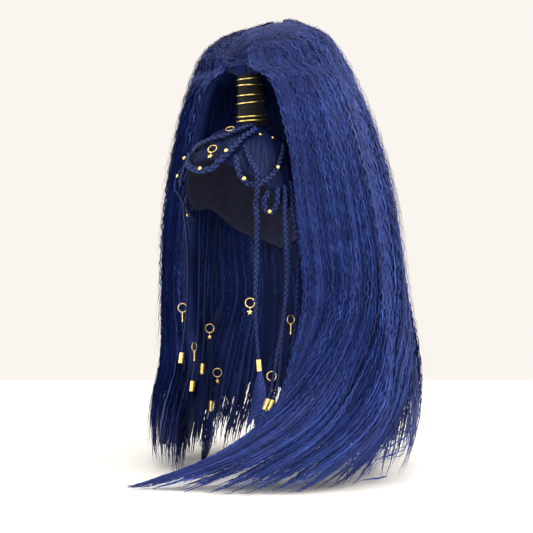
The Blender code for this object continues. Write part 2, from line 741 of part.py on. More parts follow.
# Hoops: the plait, the share of its way, the hoop's facing turned from HOOP_FACING, side of the plait, charm
HOOPS = {
    "right_cheek": ("right_cheek_plait", 0.555, 0, -1, "bar"),
    "right_jaw": ("right_jaw_plait", 0.640, 60, -1, "bar"),
    "right_ear": ("right_ear_plait", 0.570, 0, 1, "star"),
    "right_nape": ("right_nape_plait", 0.635, 0, 1, "star"),
    "left_cheek": ("left_cheek_plait", 0.570, 12, -1, "star"),
    "left_ear": ("left_ear_plait", 0.790, 0, -1, "bar"),
    "left_nape": ("left_nape_plait", 0.700, 40, -1, "bar"),
}
# Hoops that lie on the hair above the forehead: azimuth, drop (of HEAD_CROWN_HEIGHT), charm
CROWN_HOOPS = {
    "crown": (3, 0.36, "star"),
    "upper_crown": (8, 0.085, None),
}
# Gold studs: the loop they sit on and the share of its way, or the hair itself at an azimuth and a drop
LOOP_STUDS = (
    ("front_loop", 0.10),
    ("front_loop", 0.375),
    ("front_loop", 0.62),
    ("left_temple_loop", 0.25),
    ("left_temple_loop", 0.64),
    ("left_ear_loop", 0.42),
    ("right_temple_loop", 0.16),
    ("right_ear_loop", 0.45),
)
HAIR_STUDS = ((66, 0.17), (86, 0.20))


def tapered(spec, length):
    """Radius of a hanging plait: even to its cuff, narrow inside it, then a loose tail that ends in a point."""
    cuff = spec["cuff"] or 0.86
    narrow = CUFFED_RADIUS if spec["cuff"] else spec["radius"] * 0.8
    half = (CUFF_LENGTH / 2 + CUFF_END_GAP) / length

    def radius_at(share):
        if share < cuff - half:
            return spec["radius"] + (narrow - spec["radius"]) * smooth((share / (cuff - half) - 0.35) / 0.55)
        loose = max(0, share - cuff - half) / (1 - cuff - half)
        swell = narrow + (spec["tail"] - narrow) * smooth(loose / 0.35)
        return swell * (1 - 0.86 * smooth((loose - 0.45) / 0.55))

    return radius_at


def strand(name):
    """The route of a loop or a plait as (point, share) pairs, straight inside its cuff, and its radius by share."""
    if name in LOOPS:
        radius, rows = LOOPS[name]
        return with_shares(laid(rows, radius)), lambda share: radius
    spec = PLAITS[name]
    points = laid(spec["head"], spec["radius"]) + hung(spec["fall"])
    route = on_route(points, PLAIT_STEP)
    length = sum((b[0] - a[0]).length for a, b in zip(route, route[1:]))
    if spec["cuff"]:
        half = (CUFF_LENGTH / 2 + CUFF_END_GAP) / length
        ends = [(at_share(route, share), share) for share in (spec["cuff"] - half, spec["cuff"] + half)]
        route = [r for r in route if abs(r[1] - spec["cuff"]) > half * 1.3]
        route = sorted(route + ends, key=lambda r: r[1])
    return route, tapered(spec, length)


def at_share(route, share):
    i = max(k for k in range(len(route) - 1) if route[k][1] <= share)
    (a, low), (b, high) = route[i], route[i + 1]
    return a.lerp(b, (share - low) / (high - low))


def build_plaits():
    for name in [*LOOPS, *PLAITS]:
        plait(name)
    for name, spec in PLAITS.items():
        if spec["cuff"] is None:
            continue
        route, _ = strand(name)
        above = max((r for r in route if r[1] < spec["cuff"]), key=lambda r: r[1])[0]
        below = min((r for r in route if r[1] > spec["cuff"]), key=lambda r: r[1])[0]
        bore = (CUFFED_RADIUS + SEAT_GAP) / cos(pi / CUFF_SIDES)
        outline = (
            (bore, -CUFF_LENGTH / 2),
            (bore + CUFF_WALL, -CUFF_LENGTH / 2),
            (bore + CUFF_WALL, CUFF_LENGTH / 2),
            (bore, CUFF_LENGTH / 2),
        )
        turned_ring(name.replace("plait", "cuff"), GOLD, outline, (above + below) / 2, below - above, CUFF_SIDES)


# Hoops, charms and studs

def hoop(name, centre, normal, carrier=None):
    """A ring of round wire in the plane across normal, open where the plait that carries it passes through."""
    side, lift = hoop_axes(normal)
    clear = [True] * HOOP_STEPS
    if carrier:
        route, radius_at = strand(carrier)
        for k in range(HOOP_STEPS):
            angle = 2 * pi * k / HOOP_STEPS
            spot = centre + (side * sin(angle) + lift * cos(angle)) * HOOP_RADIUS
            clear[k] = to_strand(spot, route, radius_at) > HOOP_WIRE + SEAT_GAP
    blocked = [k for k in range(HOOP_STEPS) if not clear[k]]
    first, last = 0, HOOP_STEPS - 1
    if blocked:
        turned = clear[blocked[0]:] + clear[:blocked[0]]
        runs = "".join("c" if c else "." for c in turned).split(".")
        longest = max(runs, key=len)
        first = blocked[0] + "".join("c" if c else "." for c in turned).index(longest)
        last = first + len(longest) - 1
    data = bpy.data.curves.new(name, "CURVE")
    data.dimensions = "3D"
    data.bevel_depth = HOOP_WIRE
    data.bevel_resolution = 1
    data.use_fill_caps = True
    spline = data.splines.new("POLY")
    count = max(4, ceil((last - first) / HOOP_STEPS * HOOP_POINTS))
    spline.points.add(count)
    for i, point in enumerate(spline.points):
        a = 2 * pi * (first + (last - first) * i / count) / HOOP_STEPS
        point.co = (*(centre + (side * sin(a) + lift * cos(a)) * HOOP_RADIUS), 1)
    obj = bpy.data.objects.new(name, data)
    bpy.context.scene.collection.objects.link(obj)
    return keep(obj, name, GOLD)


def hoop_axes(normal):
    side = Vector(normal).cross(Vector((0, 0, 1))).normalized()
    return side, side.cross(Vector(normal)).normalized()


def to_strand(spot, route, radius_at):
    """Distance from a spot to the surface of a plait."""
    best = 1.0
    for (a, low), (b, high) in zip(route, route[1:]):
        t = max(0, min(1, (spot - a).dot(b - a) / (b - a).length_squared))
        best = min(best, (spot - a.lerp(b, t)).length - radius_at(low + (high - low) * t))
    return best


def star_outline(radius):
    return [
        (radius * (1 if i % 2 == 0 else 0.42) * sin(pi * i / 5), radius * (1 if i % 2 == 0 else 0.42) * cos(pi * i / 5))
        for i in range(10)
    ]


def charm(name, kind, eye, normal, down=Vector((0, 0, -1))):
    """A star or a bar below an eye. The eye's ring stands across the hoop that carries it."""
    side = Vector(normal).cross(down).normalized()
    if kind == "star":
        centre = eye + down * (EYE_RADIUS + STAR_RADIUS * 0.9)
        half = Vector(normal).normalized() * STAR_THICKNESS / 2
        flat = [centre + side * x - down * y for x, y in star_outline(STAR_RADIUS)]
        count = len(flat)
        points = [p + half for p in flat] + [p - half for p in flat]
        faces = [tuple(range(count)), tuple(range(2 * count - 1, count - 1, -1))]
        faces += [(i, i + count, (i + 1) % count + count, (i + 1) % count) for i in range(count)]
        body = mesh_object(name, points, faces, GOLD)
    else:
        bpy.ops.mesh.primitive_cylinder_add(vertices=8, radius=BAR_RADIUS, depth=BAR_LENGTH)
        body = keep(bpy.context.object, name, GOLD)
        place(body, eye + down * (EYE_RADIUS + BAR_LENGTH / 2 - EYE_WIRE), down)
    body.data.shade_flat()
    bpy.ops.mesh.primitive_torus_add(
        major_radius=EYE_RADIUS, minor_radius=EYE_WIRE, major_segments=10, minor_segments=WIRE_SIDES
    )
    ring = keep(bpy.context.object, name + "_eye", GOLD, GUIDES)
    place(ring, eye, side)
    ring.hide_render = True
    ring.display_type = "WIRE"
    join = body.modifiers.new("join eye", "BOOLEAN")
    join.operation = "UNION"
    join.object = ring
    return body


def build_hoops():
    for name, (carrier, share, turned, hand, kind) in HOOPS.items():
        facing = HOOP_FACING + radians(turned)
        normal = Vector((sin(facing), -cos(facing), 0))
        across = Vector((cos(facing), sin(facing), 0)) * hand
        route, radius_at = strand(carrier)
        pierced = at_share(route, share)
        beside = STAR_RADIUS if kind == "star" else EYE_RADIUS + EYE_WIRE
        reach = 2 * HOOP_RADIUS + 2 * STAR_RADIUS + BAR_LENGTH
        near = [r for r in route if 0 <= pierced.z - r[0].z + HOOP_RADIUS < reach]
        bulge = max((r[0] - pierced).dot(across) + radius_at(r[1]) for r in near)
        centre = pierced + across * (bulge + SEAT_GAP + beside)
        hoop(name + "_hoop", centre, normal, carrier)
        eye = centre - Vector((0, 0, HOOP_RADIUS + EYE_RADIUS - EYE_WIRE - HOOP_WIRE - SEAT_GAP / 2))
        charm(name + "_charm", kind, eye, normal)
    for name, (azimuth, drop, kind) in CROWN_HOOPS.items():
        centre = seated(azimuth, drop * HEAD_CROWN_HEIGHT, HOOP_WIRE + SEAT_GAP)
        out = (centre - HAIR_SURFACE.find_nearest(centre)[0]).normalized()
        centre = centre + out * (EYE_RADIUS if kind else 0)
        hoop(name + "_hoop", centre, out)
        if kind:
            side, _ = hoop_axes(out)
            down = out.cross(side).normalized()
            down = down if down.z < 0 else -down
            eye = centre + down * (HOOP_RADIUS + EYE_RADIUS - EYE_WIRE - HOOP_WIRE - SEAT_GAP / 2)
            charm(name + "_charm", kind, eye, out, down)


def stud(name, seat, out, raised=STUD_RADIUS * STUD_HEIGHT_SHARE + SEAT_GAP):
    bpy.ops.mesh.primitive_uv_sphere_add(segments=10, ring_count=5, radius=STUD_RADIUS)
    obj = keep(bpy.context.object, name, GOLD)
    obj.data.transform(Matrix.Diagonal((1, 1, STUD_HEIGHT_SHARE, 1)))
    obj.data.shade_smooth()
    place(obj, seat + out * raised, out)


def build_studs():
    for index, (name, share) in enumerate(LOOP_STUDS):
        point = at_share(strand(name)[0], share)
        out = outward(point)
        stud(f"stud_{index + 1}", point + out * LOOPS[name][0], out)
    for index, (azimuth, drop) in enumerate(HAIR_STUDS):
        point = seated(azimuth, drop * HEAD_CROWN_HEIGHT, STUD_RADIUS * STUD_HEIGHT_SHARE)
        out = (point - HAIR_SURFACE.find_nearest(point)[0]).normalized()
        stud(f"stud_{index + 1 + len(LOOP_STUDS)}", point, out, 0)


clear_scene()
WIG = collection("ponytail_wig")
GUIDES = collection("guides")
HAIR = material("blue_hair", (0.030, 0.060, 0.230), 0.55)
CAP_CLOTH = material("cap_cloth", (0.012, 0.018, 0.060), 0.9)
BLACK_CLOTH = material("black_cloth", (0.012, 0.012, 0.014), 0.85)
GOLD = material("gold", (0.83, 0.60, 0.24), 0.25, 1.0)

build_cap()
HAIR_SURFACE = BVHTree.FromObject(WIG.objects["swept_hair"], bpy.context.evaluated_depsgraph_get())
build_wrap()
build_tail()
build_plaits()
build_hoops()
build_studs()
print("pieces:", len(WIG.objects), "edge of the cap at the nape:", round(degrees(edge_polar(180))), "degrees")
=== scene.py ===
import time
from math import acos, ceil, cos, degrees, pi, radians, sin

import bmesh
import bpy
import numpy as np
from mathutils import Matrix, Vector
from mathutils.bvhtree import BVHTree


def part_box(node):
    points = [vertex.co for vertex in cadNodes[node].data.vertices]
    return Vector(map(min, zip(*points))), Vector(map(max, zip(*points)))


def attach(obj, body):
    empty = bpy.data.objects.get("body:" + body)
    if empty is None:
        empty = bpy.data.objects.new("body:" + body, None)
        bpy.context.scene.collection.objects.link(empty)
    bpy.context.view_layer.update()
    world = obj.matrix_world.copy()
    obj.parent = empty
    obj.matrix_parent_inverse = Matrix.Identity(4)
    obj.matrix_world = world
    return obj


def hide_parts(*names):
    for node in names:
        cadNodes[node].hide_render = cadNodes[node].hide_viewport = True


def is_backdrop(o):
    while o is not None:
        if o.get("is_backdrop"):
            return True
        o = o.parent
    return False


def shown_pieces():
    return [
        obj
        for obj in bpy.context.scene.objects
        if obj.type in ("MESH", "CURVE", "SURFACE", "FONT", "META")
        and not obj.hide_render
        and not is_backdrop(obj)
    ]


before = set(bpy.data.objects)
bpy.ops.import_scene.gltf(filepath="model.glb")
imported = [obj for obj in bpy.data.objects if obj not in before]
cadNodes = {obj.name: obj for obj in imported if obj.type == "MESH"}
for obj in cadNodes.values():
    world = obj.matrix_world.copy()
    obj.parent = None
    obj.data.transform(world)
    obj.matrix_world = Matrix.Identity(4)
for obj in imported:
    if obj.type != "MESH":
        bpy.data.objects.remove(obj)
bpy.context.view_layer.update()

startedAt = time.time()


def say(stage):
    print(f"{time.time() - startedAt:5.1f} s  {stage}")


# Node building: one class for shaders and for geometry trees

class Wire:
    # a socket that takes part in sums, so that a pattern reads as a formula
    def __init__(self, nodes, socket):
        self.nodes = nodes
        self.socket = socket

    def worked(self, operation, *values):
        made = self.nodes.add("ShaderNodeMath", {"operation": operation}, *values)
        return Wire(self.nodes, made.outputs[0])

    def __add__(self, other):
        return self.worked("ADD", self, other)

    def __radd__(self, other):
        return self.worked("ADD", other, self)

    def __sub__(self, other):
        return self.worked("SUBTRACT", self, other)

    def __rsub__(self, other):
        return self.worked("SUBTRACT", other, self)

    def __mul__(self, other):
        return self.worked("MULTIPLY", self, other)

    def __truediv__(self, other):
        return self.worked("DIVIDE", self, other)

    def wave(self):
        return self.worked("SINE", self * (2 * pi))

    def zigzag(self):      # from -1 to 1, once for each whole number
        return self.worked("PINGPONG", self, 0.5) * 4 - 1

    def held(self):        # between 0 and 1
        return Wire(self.nodes, self.nodes.add("ShaderNodeClamp", {}, self).outputs[0])


class Nodes:
    def __init__(self, tree):
        self.tree = tree

    def put(self, socket, value):
        if isinstance(value, Wire):
            value = value.socket
        if isinstance(value, bpy.types.NodeSocket):
            self.tree.links.new(value, socket)
        else:
            socket.default_value = value

    def add(self, kind, settings, *values, **named):
        # a node with its settings, then its sockets in order, or by name with _ for a space
        made = self.tree.nodes.new(kind)
        for key, value in settings.items():
            if key == "stops":
                ramp = made.color_ramp
                while len(ramp.elements) < len(value):
                    ramp.elements.new(0.5)
                for stop, (at, colour) in zip(ramp.elements, value):
                    stop.position = at
                    stop.color = (*colour, 1)
            else:
                setattr(made, key, value)
        for socket, value in zip(made.inputs, values):
            self.put(socket, value)
        for key, value in named.items():
            self.put(made.inputs[key.replace("_", " ")], value)
        return made

    def wire(self, socket):
        return Wire(self, socket)

    def stored(self, name, kind="FLOAT"):
        # an attribute of the points, in a geometry tree
        return self.wire(self.add("GeometryNodeInputNamedAttribute", {"data_type": kind}, name).outputs[0])


class Finish(Nodes):
    # a material under construction
    def __init__(self, name, **constants):
        self.material = bpy.data.materials.new(name)
        self.material.use_nodes = True
        super().__init__(self.material.node_tree)
        self.shader = self.tree.nodes["Principled BSDF"]
        for key, value in constants.items():
            self.shader.inputs[key.replace("_", " ")].default_value = value

    def attribute(self, name):
        return self.wire(self.add("ShaderNodeAttribute", {"attribute_name": name}).outputs["Fac"])

    def objectPlace(self):
        return self.add("ShaderNodeTexCoord", {}).outputs["Object"]

    def join(self, x, y, z):
        return self.add("ShaderNodeCombineXYZ", {}, x, y, z).outputs[0]

    def noise(self, place, scale, detail):
        made = self.add("ShaderNodeTexNoise", {}, Vector=place, Scale=scale, Detail=detail)
        return self.wire(made.outputs[0])

    def ramp(self, value, stops):
        return self.add("ShaderNodeValToRGB", {"stops": stops}, value).outputs[0]

    def finish(self, colour, roughness, height=None, strength=0.5, distance=0.0004):
        self.put(self.shader.inputs["Base Color"], colour)
        self.put(self.shader.inputs["Roughness"], roughness)
        if height is not None:
            bump = self.add("ShaderNodeBump", {}, Strength=strength, Distance=distance, Height=height)
            self.put(self.shader.inputs["Normal"], bump.outputs[0])
        return self.material


# Finishes

hairLook = {
    "colours": (        # place on the ramp, colour
        (0.10, (0.0035, 0.0070, 0.045)),
        (0.50, (0.0105, 0.0260, 0.150)),
        (0.95, (0.0380, 0.0900, 0.385)),
    ),
    "toneShare": 0.60, "hairShare": 0.86, "patchShare": 0.46, "darkened": 0.50, "patchScale": 26.0,
    "alongScale": 14, "toneScale": 31, "roughest": 0.62, "smoothed": 0.3,
    "crimpDrift": 3, "crimpWidth": 1.6, "driftAcross": 0.03, "driftAlong": 9,
}


def hairFinish(name, brightness, hairsAcross, bumpHeight=0.0004, crimpPitch=0.0, shine=0.20):
    # strands lie along "along" (metres), side by side over "across" (in strands);
    # "tone" differs from strand to strand, and also carries painted shade near the roots of the tail's hair
    # and on the inside of the tail, and painted shade and light where plait strands dip and cross
    made = Finish(name, Specular_IOR_Level=shine)
    along, across, tone = (made.attribute(key) for key in ("along", "across", "tone"))
    if crimpPitch:
        drifting = made.join(across * hairLook["driftAcross"], along * hairLook["driftAlong"], 0.0)
        drift = made.noise(drifting, 1.0, 1.0) * hairLook["crimpDrift"]
        across = across + (along / crimpPitch + drift).zigzag() * hairLook["crimpWidth"]
    strand = made.join(across * hairsAcross, along * hairLook["alongScale"], tone * hairLook["toneScale"])
    hairs = made.noise(strand, 1.0, 1.5)
    patches = made.noise(made.objectPlace(), hairLook["patchScale"], 2.0)
    light = tone * hairLook["toneShare"] + hairs * hairLook["hairShare"] + patches * hairLook["patchShare"]
    shades = [(at, tuple(c * brightness for c in colour)) for at, colour in hairLook["colours"]]
    return made.finish(
        made.ramp((light - hairLook["darkened"]).held(), shades),
        hairLook["roughest"] - hairs * hairLook["smoothed"],
        height=hairs, strength=0.7, distance=bumpHeight,
    )


def goldFinish():
    made = Finish("gold", Metallic=1.0)
    wear = made.noise(made.objectPlace(), 420.0, 3.0)
    scratches = made.noise(made.objectPlace(), 2600.0, 2.0)
    shades = [(0.25, (0.68, 0.45, 0.10)), (0.55, (0.95, 0.70, 0.23)), (0.85, (1.0, 0.86, 0.44))]
    roughness = 0.26 + wear * 0.22
    return made.finish(made.ramp(wear, shades), roughness, height=scratches, strength=0.25, distance=0.0001)


def velvetFinish():
    sheen = {"Sheen_Weight": 0.12, "Sheen_Roughness": 0.35, "Sheen_Tint": (0.25, 0.26, 0.30, 1)}
    made = Finish("blackVelvet", Specular_IOR_Level=0.15, **sheen)
    pile = made.noise(made.objectPlace(), 1500.0, 2.0)
    folds = made.noise(made.objectPlace(), 160.0, 3.0)
    shades = [(0.3, (0.0035, 0.0035, 0.0045)), (0.8, (0.016, 0.016, 0.019))]
    roughness = 0.78 + pile * 0.18
    return made.finish(made.ramp(folds * 0.6 + pile * 0.4, shades), roughness, height=pile + folds * 2)


def clothFinish():
    made = Finish("capCloth")
    place = made.add("ShaderNodeSeparateXYZ", {}, made.objectPlace())
    x, y, z = (made.wire(place.outputs[i]) for i in range(3))
    threads = 620
    weave = ((x + y) * threads).wave() * ((z + y) * threads).wave()
    faded = made.noise(made.objectPlace(), 90.0, 3.0)
    shades = [(0.3, (0.004, 0.006, 0.022)), (0.8, (0.014, 0.020, 0.062))]
    return made.finish(made.ramp(weave * 0.2 + faded, shades), 0.95 - faded * 0.15, height=weave)


finishes = {
    "tail": hairFinish("tailHair", 1.0, hairsAcross=7.0),
    "under": hairFinish("tailHairUnder", 1.0, hairsAcross=1.0, bumpHeight=0.0014, crimpPitch=0.0145),
    "combed": hairFinish("combedHair", 0.30, hairsAcross=4.0, bumpHeight=0.0006, shine=0.08),
    "plaited": hairFinish("plaitedHair", 0.34, hairsAcross=4.0, shine=0.16),
    "gold": goldFinish(),
    "velvet": velvetFinish(),
    "cloth": clothFinish(),
}
say("finishes")


# The part's own sizes, as its source gives them

head = {"width": 0.152, "length": 0.192, "crownHeight": 0.105, "lowerHeight": 0.150}
cap = {
    "wall": 0.0016, "gap": 0.0003, "hairAtRim": 0.0030, "hairAtCrown": 0.0062, "overhang": 0.0010,
    "bead": 0.004, "seam": 0.0005, "seams": 6, "seamSharpness": 24, "columns": 120, "rows": 26,
    "edge": ((0, 0.45), (30, 0.56), (60, 0.78), (80, 1.04), (102, 1.02), (130, 1.30), (180, 1.55)),
}
wrap = {
    "base": Vector((0, 0.018, 0.0068)), "lean": radians(8), "length": 0.0735,
    "baseRadius": 0.0210, "topRadius": 0.0150, "wall": 0.0024, "wire": 0.0010,
    "rings": (0.11, 0.20, 0.46, 0.60, 0.79, 0.91), "ringRadius": 0.0185, "ringTilt": 0.03,
}
wrapAxis = Vector((0, -sin(wrap["lean"]), cos(wrap["lean"])))
wrapBack = (0, cos(wrap["lean"]), sin(wrap["lean"]))
wrapTop = wrap["base"] + wrapAxis * wrap["length"]
tail = {
    "spread": 0.132, "depth": 0.222, "dome": 0.0798, "fall": 0.484, "flareRadius": 0.0220,
    "flareHeight": 0.0065, "lockCount": 11, "lockDepth": 0.0035, "tipThickness": 0.006, "sweepStart": 0.73,
}
tailOutside = (     # level, half width, centre, front, back, gap
    (0.863, -0.284, 0.380, 0.135, 0.260, 0.000),
    (0.653, 0.031, 0.293, 0.248, 0.342, 0.000),
    (0.337, 0.212, 0.240, 0.320, 0.478, 0.000),
    (0.000, 0.318, 0.216, 0.315, 0.620, -0.434),
    (-0.025, 0.357, 0.210, 0.325, 0.665, -0.237),
    (-0.060, 0.423, 0.207, 0.331, 0.735, -0.119),
    (-0.154, 0.576, 0.216, 0.347, 0.829, 0.015),
    (-0.277, 0.727, 0.225, 0.338, 0.900, 0.091),
    (-0.416, 0.819, 0.252, 0.374, 0.924, 0.166),
    (-0.574, 0.871, 0.297, 0.419, 0.973, 0.220),
    (-0.731, 0.954, 0.360, 0.495, 0.995, 0.070),
    (-0.853, 1.008, 0.342, 0.612, 0.919, 0.061),
    (-0.941, 0.992, 0.306, 0.631, 0.793, 0.061),
    (-1.000, 0.909, 0.279, 0.608, 0.712, 0.061),
)
tailInside = (      # level, half width, centre, front, back
    (0.0, (tail["flareRadius"] - head["width"] / 2) / tail["spread"], wrapTop.y / tail["depth"],
     tail["flareRadius"] / tail["depth"], tail["flareRadius"] / tail["depth"]),
    (-0.025, -0.150, 0.095, 0.130, 0.300),
    (-0.060, 0.039, 0.160, 0.170, 0.470),
    (-0.154, 0.152, 0.198, 0.185, 0.550),
    (-0.277, 0.242, 0.225, 0.185, 0.604),
    (-0.416, 0.333, 0.243, 0.203, 0.640),
    (-0.574, 0.393, 0.270, 0.221, 0.703),
    (-0.731, 0.485, 0.333, 0.284, 0.730),
    (-0.853, 0.530, 0.324, 0.405, 0.667),
    (-0.941, 0.560, 0.297, 0.468, 0.586),
    (-1.000, 0.576, 0.279, 0.486, 0.550),
)
hemRise = (         # around, rise above the floor
    (0.000, 0.000), (0.300, 0.000), (0.420, 0.017), (0.520, 0.003), (0.620, 0.020), (0.720, 0.003),
    (0.795, 0.038), (0.840, 0.005), (0.885, 0.080), (0.925, 0.003), (0.955, 0.093), (0.985, 0.008),
    (1.000, 0.051),
)
sweep = (           # around, across, forward
    (0.000, -0.356, 0.757), (0.034, -0.050, 0.690), (0.072, 0.240, 0.610), (0.115, 0.435, 0.470),
    (0.165, 0.640, 0.245), (0.220, 0.800, 0.000),
)


def curved(a, b, leaving, arriving, t):
    # from a to b, with the slopes it leaves and arrives at
    return (
        a * (2 * t**3 - 3 * t**2 + 1) + leaving * (t**3 - 2 * t**2 + t)
        + b * (3 * t**2 - 2 * t**3) + arriving * (t**3 - t**2)
    )


def readRows(rows, x, column):      # a column of a table at x, on a smooth curve through its rows
    table = np.array(sorted(rows), float)
    xs, ys = table[:, 0], table[:, column]
    slopes = np.empty_like(ys)
    slopes[1:-1] = (ys[2:] - ys[:-2]) / (xs[2:] - xs[:-2])
    slopes[0] = (ys[1] - ys[0]) / (xs[1] - xs[0])
    slopes[-1] = (ys[-1] - ys[-2]) / (xs[-1] - xs[-2])
    x = np.clip(x, xs[0], xs[-1])
    i = np.clip(np.searchsorted(xs, x, side="right") - 1, 0, len(xs) - 2)
    span = xs[i + 1] - xs[i]
    return curved(ys[i], ys[i + 1], slopes[i] * span, slopes[i + 1] * span, (x - xs[i]) / span)


def ease(t):
    t = np.clip(t, 0, 1)
    return t * t * (3 - 2 * t)


def mixed(a, b, share):
    return a + (b - a) * share[..., None]


def unit(v):
    return v / np.maximum(np.linalg.norm(v, axis=-1, keepdims=True), 1e-9)


# The tail's surfaces, as in the source, for whole arrays

openingHeight = wrapTop.z + wrap["topRadius"] * sin(wrap["lean"]) + tail["flareHeight"]


def tailHeight(level):
    return openingHeight + level * np.where(level > 0, tail["dome"], openingHeight + tail["fall"])


def tailWidth(rows, level, column=1):
    return head["width"] / 2 + readRows(rows, level, column) * tail["spread"]


def tailAngle(level, around, rows):
    edge = np.arcsin(np.minimum(tailWidth(tailOutside, level, 5) / tailWidth(rows, level), 0.97))
    return edge + (2 * pi - 2 * edge) * around


def tailOutline(rows, level, angle):
    centre = readRows(rows, level, 2) * tail["depth"]
    reach = np.where(np.cos(angle) > 0, readRows(rows, level, 3), readRows(rows, level, 4)) * tail["depth"]
    return np.stack([tailWidth(rows, level) * np.sin(angle), centre - reach * np.cos(angle)], -1)


def sweptHem(rows, around):
    across = readRows(sweep, around, 1) * (head["width"] / 2 + tail["spread"])
    target = np.stack([across, -readRows(sweep, around, 2) * tail["depth"]], -1)
    if rows is tailOutside:
        return target
    grown = ease(around / sweep[-1][0])
    own = tailOutline(rows, -1.0 + around * 0, tailAngle(-1.0 + around * 0, around, rows))
    beside = target + np.array([-0.5, 0.85]) * (tail["tipThickness"] * (1 + 4 * grown))[..., None]
    return mixed(beside, own, grown**3)


def tailPoint(rows, drop, around):
    level = (readRows(hemRise, around, 1) - 1) * drop
    flat = tailOutline(rows, level, tailAngle(level, around, rows))
    if rows is tailOutside:
        ridge = tail["lockDepth"] * ease(drop * 3) * np.cos(2 * pi * tail["lockCount"] * around + 3 * drop)
        flat = flat * (1 + ridge / np.linalg.norm(flat, axis=-1))[..., None]
    hemLevel = -1.0 + 0 * around
    atHem = tailOutline(rows, hemLevel, tailAngle(hemLevel, around, rows))
    grown = np.maximum(0.0, (-level - tail["sweepStart"]) / (1 - tail["sweepStart"])) ** 3
    grown = np.where(around < sweep[-1][0], grown, 0)
    flat = flat + (sweptHem(rows, around) - atHem) * grown[..., None]
    return np.concatenate([flat, tailHeight(level)[..., None]], -1)


def domePoint(level, angle):
    highest = tailOutside[0][0]
    flat = tailOutline(tailOutside, level, angle)
    centre = np.stack([level * 0, readRows(tailOutside, level, 2) * tail["depth"]], -1)
    shrink = np.where(level > highest, np.sqrt(np.maximum(1 - level, 0) / (1 - highest)), 1)
    flat = centre + (flat - centre) * shrink[..., None]
    return np.concatenate([flat, tailHeight(level)[..., None]], -1)


# How each hair of the tail runs: out of the wrap, over the dome, down the fall

fountain = {
    "samples": 150, "rise": 0.37, "mouthRadius": 0.0118, "mouthDepth": 0.004, "fan": 0.36, "turn": 2.2,
    "reachTurn": 2.55, "reach": 0.985, "reachVaries": 0.05, "frontTurn": 1.5, "frontReach": 0.85,
    "lowest": 0.05, "highest": 0.992, "roundness": 0.85, "shallow": 0.22, "lastTurn": 0.2,
    "hidden": 0.02, "tucked": 0.30, "tuckedOver": 0.16, "rootOver": 0.14,
}
locks = {
    "count": 46, "uneven": 0.3, "gathered": 0.36, "gatherFrom": 0.72, "gatherOver": 0.3,
    "slide": 0.105, "slideFrom": 0.45, "slideOver": 0.55,
    "slideTo": 0.46, "slideFade": 0.16, "slideEdge": 0.09,
}
riseCount = int(fountain["samples"] * fountain["rise"])
fallCount = fountain["samples"] - riseCount


def mouthPoint(angle, share):
    centre = np.array(wrapTop - wrapAxis * fountain["mouthDepth"])
    toward = np.sin(angle)[..., None] * np.array((1.0, 0, 0)) - np.cos(angle)[..., None] * np.array(wrapBack)
    return centre + (fountain["mouthRadius"] * share)[..., None] * toward


def risingHair(around, depth, start, jitter):
    # out of the wrap and over the dome, each hair at its own time
    q = start + (1 - start) * np.linspace(0, 1, riseCount)[None]
    edgeAngle = tailAngle(0.0 * around, around, tailOutside)
    left = around < 0.5
    target = np.where(left, edgeAngle, 2 * pi - edgeAngle)
    late = 0.5 + 0.5 * np.sin(40 * jitter)
    front = fountain["fan"] * jitter
    turned = front + (target - front) * ((1 - (1 - q) ** fountain["turn"]) * (1 - late) + ease(q) * late)
    angle = np.where(left, turned, 2 * pi - turned)
    reach = ease(target / fountain["reachTurn"]) * fountain["reach"] * (1 + fountain["reachVaries"] * jitter)
    reach = reach + fountain["frontReach"] * (1 - ease(target / fountain["frontTurn"])) * late**0.7
    level = np.clip(reach, fountain["lowest"], fountain["highest"]) * np.sin(pi * q) ** fountain["roundness"]
    outer = domePoint(np.where(q >= 0.9999, 0.0, level), angle)
    mouth = mouthPoint(edgeAngle, 0.35 + 0.65 * np.clip(depth, 0, 1))
    inner = mouth + (tailPoint(tailInside, 0 * around, around) - mouth) * q[..., None]
    hidden = start > fountain["hidden"]
    tucked = fountain["tucked"] * hidden * (1 - ease((q - start) / fountain["tuckedOver"]))
    flatter = depth * (fountain["shallow"] + (1 - fountain["shallow"]) * ease(2 * depth))
    shallow = np.where(depth < 0.5, flatter, depth)
    nearTurn = ease((q - 1 + fountain["lastTurn"]) / fountain["lastTurn"])
    rise = mixed(outer, inner, np.clip(shallow + (depth - shallow) * nearTurn + tucked, -0.1, 1.02))
    rooted = np.where(hidden, 1.0, ease(q / fountain["rootOver"]))
    return mixed(mouthPoint(angle, 0.5 + 0.4 * jitter), rise, rooted)


def fallingHair(around, depth, end, first):
    # down the tail, drawn together into locks toward the hem
    drop = first + (end - first) * np.linspace(0, 1, fallCount + 1)[None, 1:]
    lock = np.floor(around * locks["count"])
    centre = (lock + 0.5 + locks["uneven"] * np.sin(9 * lock)) / locks["count"]
    gathered = locks["gathered"] * ease((drop - locks["gatherFrom"]) / locks["gatherOver"])
    slid = ease((locks["slideTo"] - around) / locks["slideFade"]) * ease(around / locks["slideEdge"])
    slid = locks["slide"] * slid * ease((drop - locks["slideFrom"]) / locks["slideOver"])
    place = np.clip(around + (centre - around) * gathered - slid, 0.0, 1.0)
    return mixed(tailPoint(tailOutside, drop, place), tailPoint(tailInside, drop, place), depth)


def tailHair(around, depth, start, end, jitter, first):
    # around: 0 left edge of the opening to 1 right edge; depth: 0 outside to 1 inside of the tail;
    # start: how far over the dome a hair first shows; first and end: its shares of the drop
    given = (around, depth, start, end, jitter)
    around, depth, start, end, jitter = (np.asarray(values, float)[:, None] for values in given)
    fall = fallingHair(around, depth, end, first)
    return fall if first else np.concatenate([risingHair(around, depth, start, jitter), fall], 1)


def lengthsAlong(path):
    return np.concatenate([[0], np.cumsum(np.linalg.norm(np.diff(path, axis=0), axis=1))])


def pointsAt(path, lengths, along):
    return np.stack([np.interp(along, lengths, path[:, axis]) for axis in range(3)], -1)


